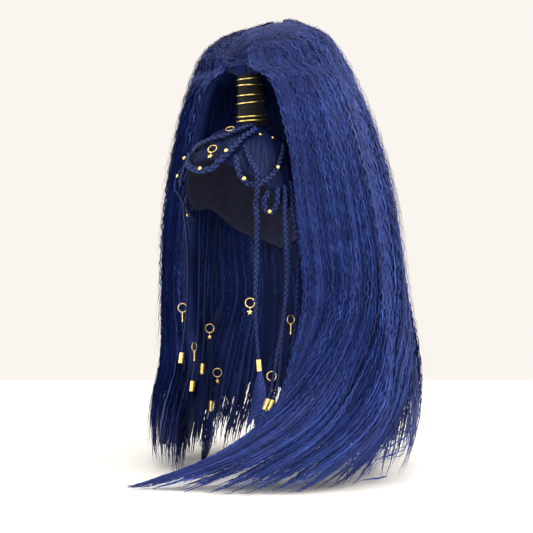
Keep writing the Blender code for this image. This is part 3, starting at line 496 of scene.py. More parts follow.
def evenly(paths, count):
    # the same paths with their points evenly spaced, and how far along each point is
    found, along = [], []
    for path in paths:
        lengths = lengthsAlong(path)
        along.append(np.linspace(0, lengths[-1], count))
        found.append(pointsAt(path, lengths, along[-1]))
    return np.array(found), np.array(along)


def framesFor(paths, middle):
    # outward and sideways directions along each path
    forward = unit(np.gradient(paths, axis=1))
    out = paths - middle(paths)
    out = unit(out - forward * (out * forward).sum(-1, keepdims=True))
    return out, np.cross(forward, out)


def tailMiddle(points):
    inside = np.zeros_like(points)
    inside[..., 1] = 0.055
    inside[..., 2] = np.minimum(points[..., 2], openingHeight - 0.01)
    return inside


# Geometry trees: each ends in real geometry with a finish

def geometryTree(name, sockets):
    # a tree for geometry and further sockets, each with its name, kind and first value
    tree = bpy.data.node_groups.new(name, "GeometryNodeTree")
    for socket, kind, value in (("Geometry", "Geometry", None), *sockets):
        made = tree.interface.new_socket(socket, in_out="INPUT", socket_type="NodeSocket" + kind)
        if value is not None:
            made.default_value = value
    tree.interface.new_socket("Geometry", in_out="OUTPUT", socket_type="NodeSocketGeometry")
    nodes = Nodes(tree)
    return nodes, nodes.add("NodeGroupInput", {}).outputs


def endTree(nodes, geometry, finish):
    solid = nodes.add("GeometryNodeRealizeInstances", {}, geometry)
    painted = nodes.add("GeometryNodeSetMaterial", {}, Geometry=solid.outputs[0], Material=finish)
    nodes.add("NodeGroupOutput", {}, painted.outputs[0])
    return nodes.tree


def strandTree():
    # hairs, ribbons of hair and plaited strands, swept along their paths
    nodes, given = geometryTree("strandsOnPaths", (
        ("Wave Pitch", "Float", None), ("Zigzag", "Float", None), ("Lift Beats", "Float", None),
        ("Sides", "Int", 6), ("Flatness", "Float", 1.0), ("Ribbon", "Bool", True),
        ("Finish", "Material", None),
    ))
    beat = nodes.stored("along") / nodes.wire(given["Wave Pitch"]) + nodes.stored("phase")
    sharp, smoothWave = beat.zigzag(), (beat - 0.25).wave()
    swing = smoothWave + (sharp - smoothWave) * nodes.wire(given["Zigzag"])
    lifted = ((beat - 0.25) * nodes.wire(given["Lift Beats"])).wave()

    def scaled(direction, amount):
        vector = nodes.stored(direction, "FLOAT_VECTOR")
        return nodes.add("ShaderNodeVectorMath", {"operation": "SCALE"}, vector, Scale=amount).outputs[0]

    swung = scaled("sideways", swing * nodes.stored("sway"))
    raised = scaled("outward", lifted * nodes.stored("lift"))
    offset = nodes.add("ShaderNodeVectorMath", {"operation": "ADD"}, swung, raised)
    moved = nodes.add("GeometryNodeSetPosition", {}, Geometry=given["Geometry"], Offset=offset.outputs[0])
    curves = nodes.add("GeometryNodeMeshToCurve", {}, moved.outputs[0])
    normal = nodes.stored("sideways", "FLOAT_VECTOR")
    turned = nodes.add("GeometryNodeSetCurveNormal", {"mode": "FREE"}, Curve=curves.outputs[0], Normal=normal)
    line = nodes.add("GeometryNodeCurvePrimitiveLine", {}, Start=(-1, 0, 0), End=(1, 0, 0))
    ring = nodes.add("GeometryNodeCurvePrimitiveCircle", {}, Resolution=given["Sides"], Radius=1.0)
    squeeze = nodes.add("ShaderNodeCombineXYZ", {}, 1.0, given["Flatness"], 1.0)
    flattened = nodes.add("GeometryNodeTransform", {}, Geometry=ring.outputs[0], Scale=squeeze.outputs[0])
    choice = {"Switch": given["Ribbon"], "False": flattened.outputs[0], "True": line.outputs[0]}
    profile = nodes.add("GeometryNodeSwitch", {"input_type": "GEOMETRY"}, **choice)
    across = nodes.add("GeometryNodeSplineParameter", {}).outputs["Factor"]
    marked = nodes.add(
        "GeometryNodeStoreNamedAttribute", {"data_type": "FLOAT", "domain": "POINT"},
        Geometry=profile.outputs[0], Name="across", Value=across,
    )
    swept = nodes.add(
        "GeometryNodeCurveToMesh", {},
        Curve=turned.outputs[0], Profile_Curve=marked.outputs[0], Scale=nodes.stored("half"), Fill_Caps=True,
    )
    return endTree(nodes, swept.outputs[0], given["Finish"])


strands = strandTree()


def strandObject(name, paths, out, sideways, along, finish, settings, **values):
    # paths and the rest are arrays by strand and point; values are sway, lift, half, phase and tone
    count, points = along.shape
    data = bpy.data.meshes.new(name + "Paths")
    data.vertices.add(count * points)
    data.vertices.foreach_set("co", paths.reshape(-1).astype(np.float32))
    first = (np.arange(count)[:, None] * points + np.arange(points - 1)[None]).reshape(-1)
    data.edges.add(len(first))
    data.edges.foreach_set("vertices", np.stack([first, first + 1], -1).reshape(-1).astype(np.int32))
    for key, vector in (("outward", out), ("sideways", sideways)):
        made = data.attributes.new(key, "FLOAT_VECTOR", "POINT")
        made.data.foreach_set("vector", vector.reshape(-1).astype(np.float32))
    for key, value in dict(values, along=along).items():
        made = data.attributes.new(key, "FLOAT", "POINT")
        made.data.foreach_set("value", (value * np.ones_like(along)).reshape(-1).astype(np.float32))
    holder = bpy.data.objects.new(name + "Paths", data)
    bpy.context.scene.collection.objects.link(holder)
    return treeMesh(name, holder, strands, dict(settings, Finish=finish))


def treeMesh(name, holder, tree, inputs):
    # a plain mesh from what a geometry tree makes of the holder, which goes
    modifier = holder.modifiers.new(tree.name, "NODES")
    modifier.node_group = tree
    for item in tree.interface.items_tree:
        if item.item_type == "SOCKET" and item.in_out == "INPUT" and item.name in inputs:
            modifier[item.identifier] = inputs[item.name]
    evaluated = holder.evaluated_get(bpy.context.evaluated_depsgraph_get())
    data = bpy.data.meshes.new_from_object(evaluated)
    data.name = name
    for spare in ("outward", "sideways", "sway", "lift", "half", "phase"):
        if spare in data.attributes:
            data.attributes.remove(data.attributes[spare])
    data.shade_smooth()
    piece = bpy.data.objects.new(name, data)
    bpy.context.scene.collection.objects.link(piece)
    bpy.data.objects.remove(holder)
    return piece


def meshPiece(name, points, faces, finish, **values):
    data = bpy.data.meshes.new(name)
    data.from_pydata([tuple(p) for p in points], [], [tuple(int(i) for i in f) for f in faces])
    for key, value in values.items():
        made = data.attributes.new(key, "FLOAT", "POINT")
        made.data.foreach_set("value", np.asarray(value, np.float32).reshape(-1))
    data.materials.append(finish)
    data.update()
    data.shade_smooth()
    piece = bpy.data.objects.new(name, data)
    bpy.context.scene.collection.objects.link(piece)
    return piece


def ringFaces(rows, columns, closed):
    # between rings of points that lie one after another; closed joins the last ring to the first
    faces = []
    for k in range(rows if closed else rows - 1):
        upper, lower = k * columns, (k + 1) % rows * columns
        for i in range(columns):
            j = (i + 1) % columns
            faces.append((upper + i, lower + i, lower + j, upper + j))
    return faces
def facingOut(piece):
    build = bmesh.new()
    build.from_mesh(piece.data)
    bmesh.ops.remove_doubles(build, verts=build.verts, dist=0.00001)
    bmesh.ops.recalc_face_normals(build, faces=build.faces)
    build.to_mesh(piece.data)
    build.free()


def worn(piece, slot, *nodes):
    # the piece takes the place of these nodes of the part
    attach(piece, "root")
    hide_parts(*nodes)
    return piece


# The tail's body: a closed sheet a little inside its outline, which its outer hair lies on

body = {
    "columns": 164, "frontColumns": 12, "domeRows": 34, "fallRows": 54, "outerDepth": 0.055,
    "innerDepth": 0.93, "tipDepth": 0.42, "tipCloser": 0.47, "tipFrom": 0.74, "tipOver": 0.12,
    "inset": 0.0026, "ridge": 0.0011, "shortest": 0.80, "longest": 0.885, "sweptLonger": 0.026,
    "domeLength": 0.13, "fallLength": 0.57, "turnRadius": 0.16, "hairWidth": 0.0016, "tone": 0.36,
    "paintedShadeInside": 0.04,
}


def tailBody():
    rng = np.random.default_rng(4)
    around = np.linspace(0, 1, body["columns"])
    angles = tailAngle(0 * around, around, tailOutside)
    frontShare = np.linspace(-1, 1, body["frontColumns"] + 2)[1:-1]
    ringAngles = np.concatenate([angles, angles[0] * frontShare])
    strip, ring = len(angles), len(ringAngles)
    points, along, faces = [], [], []

    def uneven(low, high, knots):
        return np.interp(around, np.linspace(0, 1, knots), rng.uniform(low, high, knots))

    def add(row, place):
        # gives the number of the row's first point
        first = sum(len(earlier) for earlier in points)
        points.append(np.asarray(row, float).reshape(-1, 3))
        along.append(np.full(len(points[-1]), place))
        return first

    def join(upper, lower, columns, closed=False):
        for i in range(columns if closed else columns - 1):
            j = (i + 1) % columns
            faces.append((upper + i, lower + i, lower + j, upper + j))

    def fan(middle, first):
        faces.extend((middle, first + i, first + (i + 1) % ring) for i in range(ring))

    def drawnIn(row, amount):
        return row - unit(row - tailMiddle(row)) * amount

    def between(drop, depth):
        return mixed(tailPoint(tailOutside, drop, around), tailPoint(tailInside, drop, around), depth)

    hem = uneven(body["shortest"], body["longest"], 60)
    hem = hem + body["sweptLonger"] * (1 - ease((around - 0.42) / 0.10))
    ridges = uneven(-1, 1, 130) * body["ridge"]
    peak = add(drawnIn(domePoint(np.array([1.0]), np.array([0.0])), body["inset"]), 0)
    dome = []
    for k in range(1, body["domeRows"] + 1):
        level = sin(pi / 2 * (1 - k / body["domeRows"]))
        row = drawnIn(domePoint(np.full(ring, level), ringAngles), body["inset"])
        dome.append(add(row, body["domeLength"] * k / body["domeRows"]))
    fan(peak, dome[0])
    for upper, lower in zip(dome, dome[1:]):
        join(upper, lower, ring, closed=True)
    outer, inner = [dome[-1]], []
    for k in range(1, body["fallRows"] + 1):
        drop = hem * k / body["fallRows"]
        toTip = ease((drop - body["tipFrom"]) / body["tipOver"])
        depth = body["outerDepth"] * ease(drop / 0.06) + (body["tipDepth"] - body["outerDepth"]) * toTip
        amount = body["inset"] * (1 - ease(drop / 0.08)) + ridges * ease(drop * 5)
        place = body["domeLength"] + body["fallLength"] * k / body["fallRows"]
        outer.append(add(drawnIn(between(drop, depth), amount[:, None]), place))
    for k in range(body["fallRows"] + 1):
        drop = hem * k / body["fallRows"]
        toTip = ease((drop - body["tipFrom"]) / body["tipOver"])
        row = between(drop, 1 - (1 - body["innerDepth"]) * ease(drop / 0.1) - body["tipCloser"] * toTip)
        if k == 0:
            front = frontShare * float(tailAngle(np.zeros(1), np.zeros(1), tailInside)[0])
            flat = tailOutline(tailInside, 0 * front, front)
            row = np.concatenate([row, np.concatenate([flat, np.full((len(front), 1), openingHeight)], 1)])
        inner.append(add(row, body["fallLength"] * k / body["fallRows"]))
    for rows in (outer, inner):
        for upper, lower in zip(rows, rows[1:]):
            join(upper, lower, strip)
    join(outer[-1], inner[-1], strip)
    for column in (0, strip - 1):
        for k in range(body["fallRows"]):
            faces.append((outer[k] + column, outer[k + 1] + column, inner[k + 1] + column, inner[k] + column))
    for i in range(strip - 1, ring):
        j = (i + 1) % ring
        faces.append((outer[0] + i, inner[0] + i, inner[0] + j, outer[0] + j))
    mouth = add(mouthPoint(ringAngles, np.ones(ring)), 0)
    join(mouth, inner[0], ring, closed=True)
    fan(add([tuple(wrapTop - wrapAxis * fountain["mouthDepth"])], 0), mouth)

    points, along = np.concatenate(points), np.concatenate(along)
    turned = np.arctan2(points[:, 0], -(points[:, 1] - 0.05))
    # points of the inside sheet, which get painted shade: a lower tone than the outside
    inside = np.arange(len(points)) >= inner[0]
    piece = meshPiece(
        "tailBody", points, faces, finishes["under"],
        across=turned * body["turnRadius"] / body["hairWidth"], along=along,
        tone=body["tone"] - body["paintedShadeInside"] * inside,
    )
    facingOut(piece)
    return worn(piece, "tail_hair", "ponytail")


tailBody()
say("body of the tail")


# Hair over the tail's body, in parts that each stay a moderate size

outerHair = {
    "pitch": 0.0140, "halfWidth": 0.00090, "sway": 0.0016, "lift": 0.0009, "spacing": 0.0047, "drift": 0.0022,
    "tilt": 0.55, "aboveFloor": 0.0012, "floorSpread": 0.004, "crimpedTogether": 95, "tonedTogether": 160,
}
edgeHair = {"depths": (0.0, 0.9), "ends": (0.75, 0.98)}
tipHair = {"depths": (0.0, 1.0), "width": 1.5, "first": 0.66, "length": 0.17, "tones": 0.42}
hairParts = (       # name, from and to around, how many, seed, what differs from the usual
    ("tailHairLeftFront", 0.000, 0.120, 290, 11, {}),
    ("tailHairLeft", 0.100, 0.250, 290, 12, {}),
    ("tailHairLeftBack", 0.230, 0.450, 260, 13, {}),
    ("tailHairBack", 0.430, 0.700, 215, 14, {}),
    ("tailHairRight", 0.680, 1.000, 270, 15, {}),
    ("tailHairInside", 0.0, 1.0, 330, 21, {
        "depths": (0.86, 1.02), "width": 1.3, "length": 0.45, "tones": 0.55, "sway": 1.5}),
    ("tailHairMouth", 0.0, 1.0, 260, 25, {
        "depths": (0.75, 1.0), "width": 1.1, "ends": (0.06, 0.22), "shows": 1.0, "length": 0.17,
        "tones": 0.4}),
    ("tailHairEdgeLeft", 0.0, 0.018, 80, 22, edgeHair),
    ("tailHairEdgeRight", 0.982, 1.0, 80, 23, edgeHair),
    ("tailTipsLeft", 0.0, 0.40, 500, 26, tipHair),
    ("tailTipsBack", 0.38, 0.78, 290, 27, tipHair),
    ("tailTipsRight", 0.76, 1.0, 400, 28, dict(
        tipHair, width=1.9, ends=(0.94, 1.03), first=0.62, tones=0.38)),
    ("tailFlyaways", 0.0, 1.0, 290, 24, {
        "depths": (-0.04, 0.01), "width": 0.36, "ends": (0.4, 0.84), "fly": 0.0065, "sway": 1.6,
        "length": 0.50}),
)


def lockPhase(around, rng):
    # hairs that lie side by side crimp together, each lock at a phase of its own
    lock = np.floor(around * outerHair["crimpedTogether"])
    return (np.sin(lock * 12.9898) * 43758.5453) % 1 + 0.10 * rng.standard_normal(around.shape)


def hairPart(name, low, high, count, seed, depths=(-0.012, 0.075), width=1.0, ends=(0.90, 1.0), fly=0.0,
             sway=1.0, first=0.0, length=0.72, shows=0.55, tones=0.5):
    rng = np.random.default_rng(seed)
    each = (count, 1)
    around = np.sort(rng.uniform(low, high, count))
    depth = rng.uniform(*depths, count)
    jitter = rng.uniform(-1, 1, count)
    start = np.where(rng.random(count) < shows, 0.0, rng.uniform(0.05, 0.6, count))
    end = rng.uniform(*ends, count)
    points = int(length / outerHair["spacing"])
    paths, along = evenly(tailHair(around, depth, start, end, jitter, first), points)
    out, sideways = framesFor(paths, tailMiddle)
    share = np.linspace(0, 1, points)[None]
    wander = rng.uniform(0, 2 * pi, each)
    loose = fly * (0.25 + share) * (0.5 + 0.5 * np.sin(along * rng.uniform(9, 22, each) + wander))
    drift = outerHair["drift"] * np.sin(along * rng.uniform(14, 30, each) + 2 * wander) * ease(share * 4)
    paths = paths + out * loose[..., None] + sideways * drift[..., None]
    out, sideways = framesFor(paths, tailMiddle)
    tilt = rng.uniform(-outerHair["tilt"], outerHair["tilt"], (count, 1, 1))
    calm = 0.5 if first else 1 - 0.55 * ease((share - 0.62) / 0.35)
    swing = ease(share * 6) * calm * rng.uniform(0.6, 1.25, each) * sway
    tapered = (0.75 if first else 0.90) * ease((share - 0.83) / 0.17)
    half = outerHair["halfWidth"] * width * rng.uniform(0.7, 1.35, each)
    half = half * (1 - tapered) * (0.2 + 0.8 * ease(share * 12))
    lockTone = 0.10 * np.sin(np.floor(around * outerHair["tonedTogether"]) * 7.7)[:, None]
    # painted shade near the roots, by the wrap's mouth: the tone is lowered over the first 0.16 m of each
    # hair
    paintedShadeNearRoot = 0.0 if first else 0.75 * (1 - ease(along / 0.16))
    tone = np.clip(tones + lockTone - paintedShadeNearRoot + 0.20 * rng.standard_normal(each), 0, 1)
    lowest = outerHair["aboveFloor"] + outerHair["floorSpread"] * rng.random(each) - tail["fall"]
    paths[..., 2] = np.maximum(paths[..., 2], lowest)
    piece = strandObject(
        name, paths, out, sideways * np.cos(tilt) + out * np.sin(tilt), along, finishes["tail"],
        {"Wave Pitch": outerHair["pitch"], "Zigzag": 0.8, "Lift Beats": 0.5, "Ribbon": True},
        sway=outerHair["sway"] * swing, lift=outerHair["lift"] * swing, half=half,
        phase=lockPhase(around, rng)[:, None], tone=tone,
    )
    worn(piece, "tail_hair", "ponytail")


for *place, differs in hairParts:
    hairPart(*place, **differs)
say("hair of the tail")


# Places on the head

def onHead(toward, lift):
    reach = head["crownHeight"] if toward.z >= 0 else head["lowerHeight"]
    return Vector((
        (head["width"] / 2 + lift) * toward.x,
        (head["length"] / 2 + lift) * toward.y,
        (reach + lift) * toward.z - head["crownHeight"],
    ))


def polarAt(height):
    reach = head["crownHeight"] if height >= 0 else head["lowerHeight"]
    return acos(max(-1, min(1, height / reach)))


def directionTo(azimuth, polar):
    turn = radians(azimuth)
    return Vector((sin(polar) * sin(turn), -sin(polar) * cos(turn), cos(polar)))


def headPoint(azimuth, drop, lift):
    return onHead(directionTo(azimuth, polarAt(head["crownHeight"] - drop)), lift)


def edgePolar(azimuth):
    folded = abs((azimuth + 180) % 360 - 180)
    return polarAt(head["crownHeight"] * (1 - float(readRows(cap["edge"], folded, 1))))


crownDirection = Vector((0, wrap["base"].y * 2 / head["length"], 1)).normalized()


def combedPoint(azimuth, share, lift):
    # on the way from the wrap (0) to the cap's edge (1)
    edge = directionTo(azimuth, edgePolar(azimuth) + cap["overhang"] / head["crownHeight"])
    return onHead(crownDirection.slerp(edge, share), lift)


def combedLift(share):
    grown = cap["hairAtCrown"] + (cap["hairAtRim"] - cap["hairAtCrown"]) * float(ease(share))
    return cap["wall"] + cap["gap"] + grown


combed = {
    "columns": 216, "rows": 44, "from": 0.13, "underRows": 14, "underFrom": 0.12, "ridge": 0.00045,
    "ridgeWaves": 24, "sunk": 0.0003, "hairsAcross": 1.6, "tone": 0.42, "sections": 17, "groove": 0.0026,
    "bend": 0.55, "strands": 760, "points": 30, "halfWidth": 0.00075, "strandBend": 9, "strandLift": 0.0010,
    "buriedEnds": 0.0004, "pitch": 0.017,
}


def grooved(azimuth, share):
    # the hair is combed up in sections, with a groove between each two
    across = azimuth / 360 * combed["sections"] + combed["bend"] * sin(pi * share)
    return combed["groove"] * (abs(sin(pi * across)) ** 0.55 - 1) * sin(pi * min(1, share * 1.05)) ** 0.5


def combedShell(rng):
    # the hair drawn up over the cap: a closed shell with fine ridges
    columns = combed["columns"]
    turns = np.arange(columns) * 2 * pi / columns
    ridges = rng.uniform(-1, 1, columns) + 0.8 * np.cos(turns * combed["ridgeWaves"])
    azimuths = [360 * c / columns for c in range(columns)]
    grid = []
    for share in np.linspace(combed["from"], 1, combed["rows"]):
        row = []
        for azimuth, ridge in zip(azimuths, ridges):
            lift = combedLift(share) + grooved(azimuth, share) + combed["ridge"] * ridge * sin(pi * share)
            row.append(combedPoint(azimuth, share, lift - combed["sunk"]))
        grid.append(row)
    for share in np.linspace(1, combed["underFrom"], combed["underRows"]):
        grid.append([combedPoint(azimuth, share, cap["wall"] + cap["gap"]) for azimuth in azimuths])
    points = np.array([[tuple(p) for p in row] for row in grid])
    steps = np.linalg.norm(np.diff(points, axis=0), axis=2)
    along = np.concatenate([np.zeros((1, columns)), np.cumsum(steps, 0)])
    shell = meshPiece(
        "combedHair", points.reshape(-1, 3), ringFaces(len(grid), columns, True), finishes["combed"],
        across=np.broadcast_to(np.arange(columns) * combed["hairsAcross"], along.shape), along=along,
        tone=np.full(along.shape, combed["tone"]),
    )
    worn(shell, "drawn_hair", "swept_hair")


def combedStrands(rng):
    # strands that lie on the shell
    count, points = combed["strands"], combed["points"]
    azimuths = rng.uniform(0, 360, count)
    paths = np.empty((count, points, 3))
    for i in range(count):
        low = rng.uniform(0.10, 0.35)
        high = 1.0 if rng.random() < 0.7 else rng.uniform(0.6, 0.98)
        bend = rng.uniform(-combed["strandBend"], combed["strandBend"])
        lift = rng.uniform(0.0, combed["strandLift"])
        for k in range(points):
            share = low + (high - low) * k / (points - 1)
            buried = combed["buriedEnds"] * (1 - sin(pi * k / (points - 1)) ** 0.4)
            azimuth = azimuths[i] + bend * share * (1 - share) * 2
            raised = combedLift(share) + grooved(azimuth, share) + lift - buried
            paths[i, k] = combedPoint(azimuth, share, raised)
    paths, along = evenly(paths, points)
    out, sideways = framesFor(paths, lambda p: np.zeros_like(p) + np.array((0, 0, -head["crownHeight"])))
    share = np.linspace(0, 1, points)[None]
    lying = strandObject(
        "combedStrands", paths, out, sideways, along, finishes["combed"],
        {"Wave Pitch": combed["pitch"], "Zigzag": 0.0, "Lift Beats": 1.0, "Ribbon": True},
        sway=0.0006, lift=0.0001, half=combed["halfWidth"] * (0.25 + 0.75 * np.sin(pi * share) ** 0.5),
        phase=rng.random((count, 1)), tone=np.clip(0.5 + 0.25 * rng.standard_normal((count, 1)), 0, 1),
    )
    worn(lying, "drawn_hair", "swept_hair")


def capPiece():
    # the cap inside the hair: two walls, a rolled edge and seams that meet at the crown
    columns, rows = cap["columns"], cap["rows"]
    inside = [(k / rows, 0.0) for k in range(1, rows + 1)]
    outside = [(k / rows, cap["wall"]) for k in range(rows, 0, -1)]
    walls = [*inside, (1 + cap["bead"], cap["wall"] / 2), *outside]
    up = Vector((0, 0, 1))
    points = [onHead(up, 0.0)]
    for share, lift in walls:
        seamHeight = cap["seam"] if lift == 0 and share < 1 else 0
        for c in range(columns):
            azimuth = 360 * c / columns
            seam = seamHeight * max(0, cos(radians(azimuth) * cap["seams"])) ** cap["seamSharpness"]
            points.append(onHead(directionTo(azimuth, edgePolar(azimuth) * share), lift + seam))
    points.append(onHead(up, cap["wall"]))
    faces = [(0, 1 + c, 1 + (c + 1) % columns) for c in range(columns)]
    faces += [tuple(1 + i for i in face) for face in ringFaces(len(walls), columns, False)]
    last = 1 + (len(walls) - 1) * columns
    faces += [(last + c, len(points) - 1, last + (c + 1) % columns) for c in range(columns)]
    piece = meshPiece("capCloth", points, faces, finishes["cloth"])
    facingOut(piece)
    worn(piece, "cap_cloth", "cap")


combing = np.random.default_rng(31)
combedShell(combing)
combedStrands(combing)
capPiece()
say("combed hair and cap")


# Loops and plaits: their routes, as the part's source lays them

plaits = {
    "swagRadius": 0.0048, "loopRadius": 0.0042, "radius": 0.0038, "thinRadius": 0.0025,
    "cuffedRadius": 0.0024, "cuffLength": 0.0150, "cuffWall": 0.0007, "endGap": 0.0010,
    "loopStep": 0.013, "step": 0.021, "fineStep": 0.0008, "hairCurve": 0.0003, "uncuffedEnd": 0.86,
    "pitch": 6.0, "offset": 0.56, "depth": 0.34, "strand": 0.43, "points": 15, "loosePoints": 44,
    "looseReach": 0.02,
}
loops = {       # radius, then azimuth, drop as a share of the crown's height, over
    "front_loop": (plaits["swagRadius"], ((-42, 0.40, 0), (-33, 0.50, 0), (-18, 0.585, 0),
        (-2, 0.625, 0), (12, 0.59, 0), (22, 0.48, 0), (31, 0.36, 0), (40, 0.24, 0), (60, 0.13, 0))),
    "brow_band": (plaits["loopRadius"], ((-58, 0.36, 0), (-32, 0.32, 0), (-14, 0.27, 0), (4, 0.235, 0),
        (18, 0.20, 0), (34, 0.135, 0), (58, 0.07, 0))),
    "left_temple_loop": (plaits["loopRadius"], ((33.5, 0.47, 0), (35, 0.58, 0), (38, 0.70, 0),
        (43, 0.77, 0), (49, 0.80, 0), (56, 0.78, 0), (64, 0.71, 0), (72, 0.60, 0), (80, 0.46, 0),
        (92, 0.30, 0))),
    "left_ear_loop": (plaits["loopRadius"], ((63, 0.88, 0), (59, 0.99, 0), (60, 1.09, 0),
        (64, 1.13, 0), (68, 1.09, 0), (69.5, 1.00, 0.06), (69.5, 0.90, 0.08), (70.0, 0.83, 0.08))),
    "right_temple_loop": (plaits["loopRadius"], ((-47, 0.53, 0), (-49, 0.66, 0), (-54, 0.745, 0),
        (-62, 0.72, 0), (-72, 0.60, 0), (-80, 0.46, 0), (-92, 0.30, 0))),
    "right_ear_loop": (plaits["loopRadius"], ((-74, 0.86, 0), (-72.5, 1.00, 0), (-75, 1.09, 0),
        (-79.5, 1.12, 0), (-84, 1.06, 0), (-85, 0.95, 0), (-84, 0.84, 0))),
}
# radius, start on the head, fall (across, back, drop), place of the cuff, radius of the loose tail
hanging = {
    "left_cheek_plait": (plaits["radius"], ((42, 0.34, 0), (46, 0.50, 0), (50, 0.62, 0.7),
        (51.5, 0.72, 1.1), (52, 0.82, 1.1), (52, 0.91, 1.0), (51.5, 1.02, 0)), ((0.90, -0.70, 0.055),
        (0.86, -0.66, 0.157), (0.84, -0.66, 0.310), (0.86, -0.68, 0.425), (0.89, -0.66, 0.527),
        (0.92, -0.655, 0.617), (0.90, -0.67, 0.694), (0.81, -0.72, 0.745), (0.72, -0.745, 0.789)), 0.78,
        0.0072),
    "left_jaw_plait": (plaits["radius"], ((77.5, 0.80, 0), (77.5, 0.93, 0)), ((1.14, -0.31, 0.036),
        (1.15, -0.29, 0.132), (1.16, -0.28, 0.234), (1.15, -0.30, 0.336), (1.13, -0.36, 0.438),
        (1.10, -0.44, 0.527), (1.06, -0.50, 0.617), (1.01, -0.54, 0.681), (0.91, -0.60, 0.738),
        (0.82, -0.66, 0.783)), 0.90, 0.0040),
    "left_ear_plait": (plaits["thinRadius"], ((95, 0.78, 0), (94, 0.92, 0)), ((1.12, 0.01, 0.010),
        (1.06, -0.05, 0.068), (1.05, -0.06, 0.157), (1.04, -0.07, 0.259), (1.02, -0.14, 0.361),
        (1.01, -0.20, 0.438), (1.02, -0.26, 0.527), (1.00, -0.30, 0.617), (0.96, -0.33, 0.681),
        (0.87, -0.37, 0.738), (0.77, -0.41, 0.789)), 0.91, 0.0034),
    "left_nape_plait": (plaits["radius"], ((85, 0.74, 0), (85.5, 0.92, 0)), ((1.165, -0.12, 0.042),
        (1.165, -0.03, 0.106), (1.14, 0.06, 0.183), (1.10, 0.08, 0.259), (1.09, 0.07, 0.336),
        (1.09, 0.04, 0.413), (1.08, 0.00, 0.489), (1.05, -0.04, 0.566), (1.03, -0.08, 0.630)), None,
        0.0042),
    "right_cheek_plait": (plaits["thinRadius"], ((-57, 0.46, 0), (-57, 0.56, 0.6), (-56.5, 0.65, 1.15),
        (-57, 0.83, 1.15), (-57.5, 0.90, 0.7), (-58, 0.98, 0)), ((-0.967, -0.47, 0.023),
        (-1.01, -0.39, 0.068), (-1.045, -0.32, 0.132), (-1.06, -0.28, 0.195), (-1.07, -0.27, 0.272),
        (-1.075, -0.28, 0.349), (-1.07, -0.33, 0.438), (-1.05, -0.42, 0.527), (-1.01, -0.52, 0.604),
        (-0.985, -0.57, 0.681), (-0.96, -0.61, 0.770), (-0.95, -0.63, 0.847)), 0.735, 0.0070),
    "right_jaw_plait": (plaits["thinRadius"], ((-93, 0.78, 0), (-94, 0.92, 0)), ((-1.12, 0.06, 0.029),
        (-1.06, 0.00, 0.144), (-1.01, -0.06, 0.259), (-0.98, -0.10, 0.361), (-0.96, -0.14, 0.464),
        (-0.95, -0.20, 0.566), (-0.965, -0.28, 0.668), (-0.95, -0.35, 0.770), (-0.92, -0.40, 0.860)),
        0.80, 0.0055),
    "right_ear_plait": (plaits["thinRadius"], ((-103, 0.78, 0), (-103, 0.92, 0)), (
        (-1.09, 0.24, 0.042), (-1.06, 0.18, 0.157), (-1.03, 0.10, 0.285), (-1.00, 0.06, 0.413),
        (-0.98, 0.02, 0.515), (-0.97, -0.02, 0.579), (-0.965, -0.07, 0.668), (-0.955, -0.13, 0.770),
        (-0.94, -0.17, 0.860)), 0.735, 0.0045),
    "right_nape_plait": (plaits["thinRadius"], ((-113, 0.86, 0), (-114, 1.00, 0)), (
        (-1.05, 0.42, 0.055), (-1.03, 0.34, 0.183), (-1.01, 0.25, 0.336), (-0.96, 0.20, 0.489),
        (-0.93, 0.17, 0.617), (-0.92, 0.13, 0.706), (-0.88, 0.07, 0.783), (-0.80, -0.08, 0.872),
        (-0.72, -0.25, 0.936), (-0.64, -0.42, 0.977)), 0.755, 0.0080),
}
sweptSurface = BVHTree.FromPolygons(
    [v.co.copy() for v in cadNodes["swept_hair"].data.vertices],
    [tuple(p.vertices) for p in cadNodes["swept_hair"].data.polygons],
)


def seatLift(azimuth, drop, radius):
    clear = radius + cap["gap"]
    lift = 0.030
    for _ in range(14):
        distance = sweptSurface.find_nearest(headPoint(azimuth, drop, lift))[3]
        lift = max(clear, lift - (distance - clear))
    return lift


def outward(point):
    return (point - Vector((0, 0, -head["crownHeight"]))).normalized()


def onRoute(points, step):
    found = []
    last = len(points) - 1
    for i in range(last):
        a, b = points[i], points[i + 1]
        before, after = points[max(i - 1, 0)], points[min(i + 2, last)]
        count = max(1, ceil((b - a).length / step))
        found += [curved(a, b, (b - before) / 2, (after - a) / 2, k / count) for k in range(count)]
    found.append(points[-1])
    return found


def laid(rows, radius):
    side = head["width"] / 2
    flat = [Vector((radians(azimuth), drop, over)) * side for azimuth, drop, over in rows]
    spots = [spot / side for spot in onRoute(flat, plaits["loopStep"])]
    halfway = [(a + b) / 2 for a, b in zip(spots, spots[1:])]
    found = []
    for i, (turn, drop, over) in enumerate(spots):
        near = [spots[i], *halfway[max(i - 1, 0):i + 1]]
        seat = radius + plaits["hairCurve"]
        lift = max(seatLift(degrees(n[0]), n[1] * head["crownHeight"], seat) for n in near)
        point = headPoint(degrees(turn), drop * head["crownHeight"], lift)
        found.append(point + outward(point) * over * (2 * plaits["loopRadius"] + cap["gap"]))
    return found


def routeOf(name):
    # a smooth route of fine, nearly even steps
    if name in loops:
        radius, rows = loops[name]
        return np.array([tuple(p) for p in onRoute(laid(rows, radius), plaits["fineStep"])])
    radius, start, fall, *_ = hanging[name]
    ears = head["crownHeight"]
    points = laid(start, radius) + [
        Vector((across * head["width"] / 2, back * head["length"] / 2, -ears - drop * (tail["fall"] - ears)))
        for across, back, drop in fall
    ]
    return np.array([tuple(p) for p in onRoute(onRoute(points, plaits["step"]), plaits["fineStep"])])


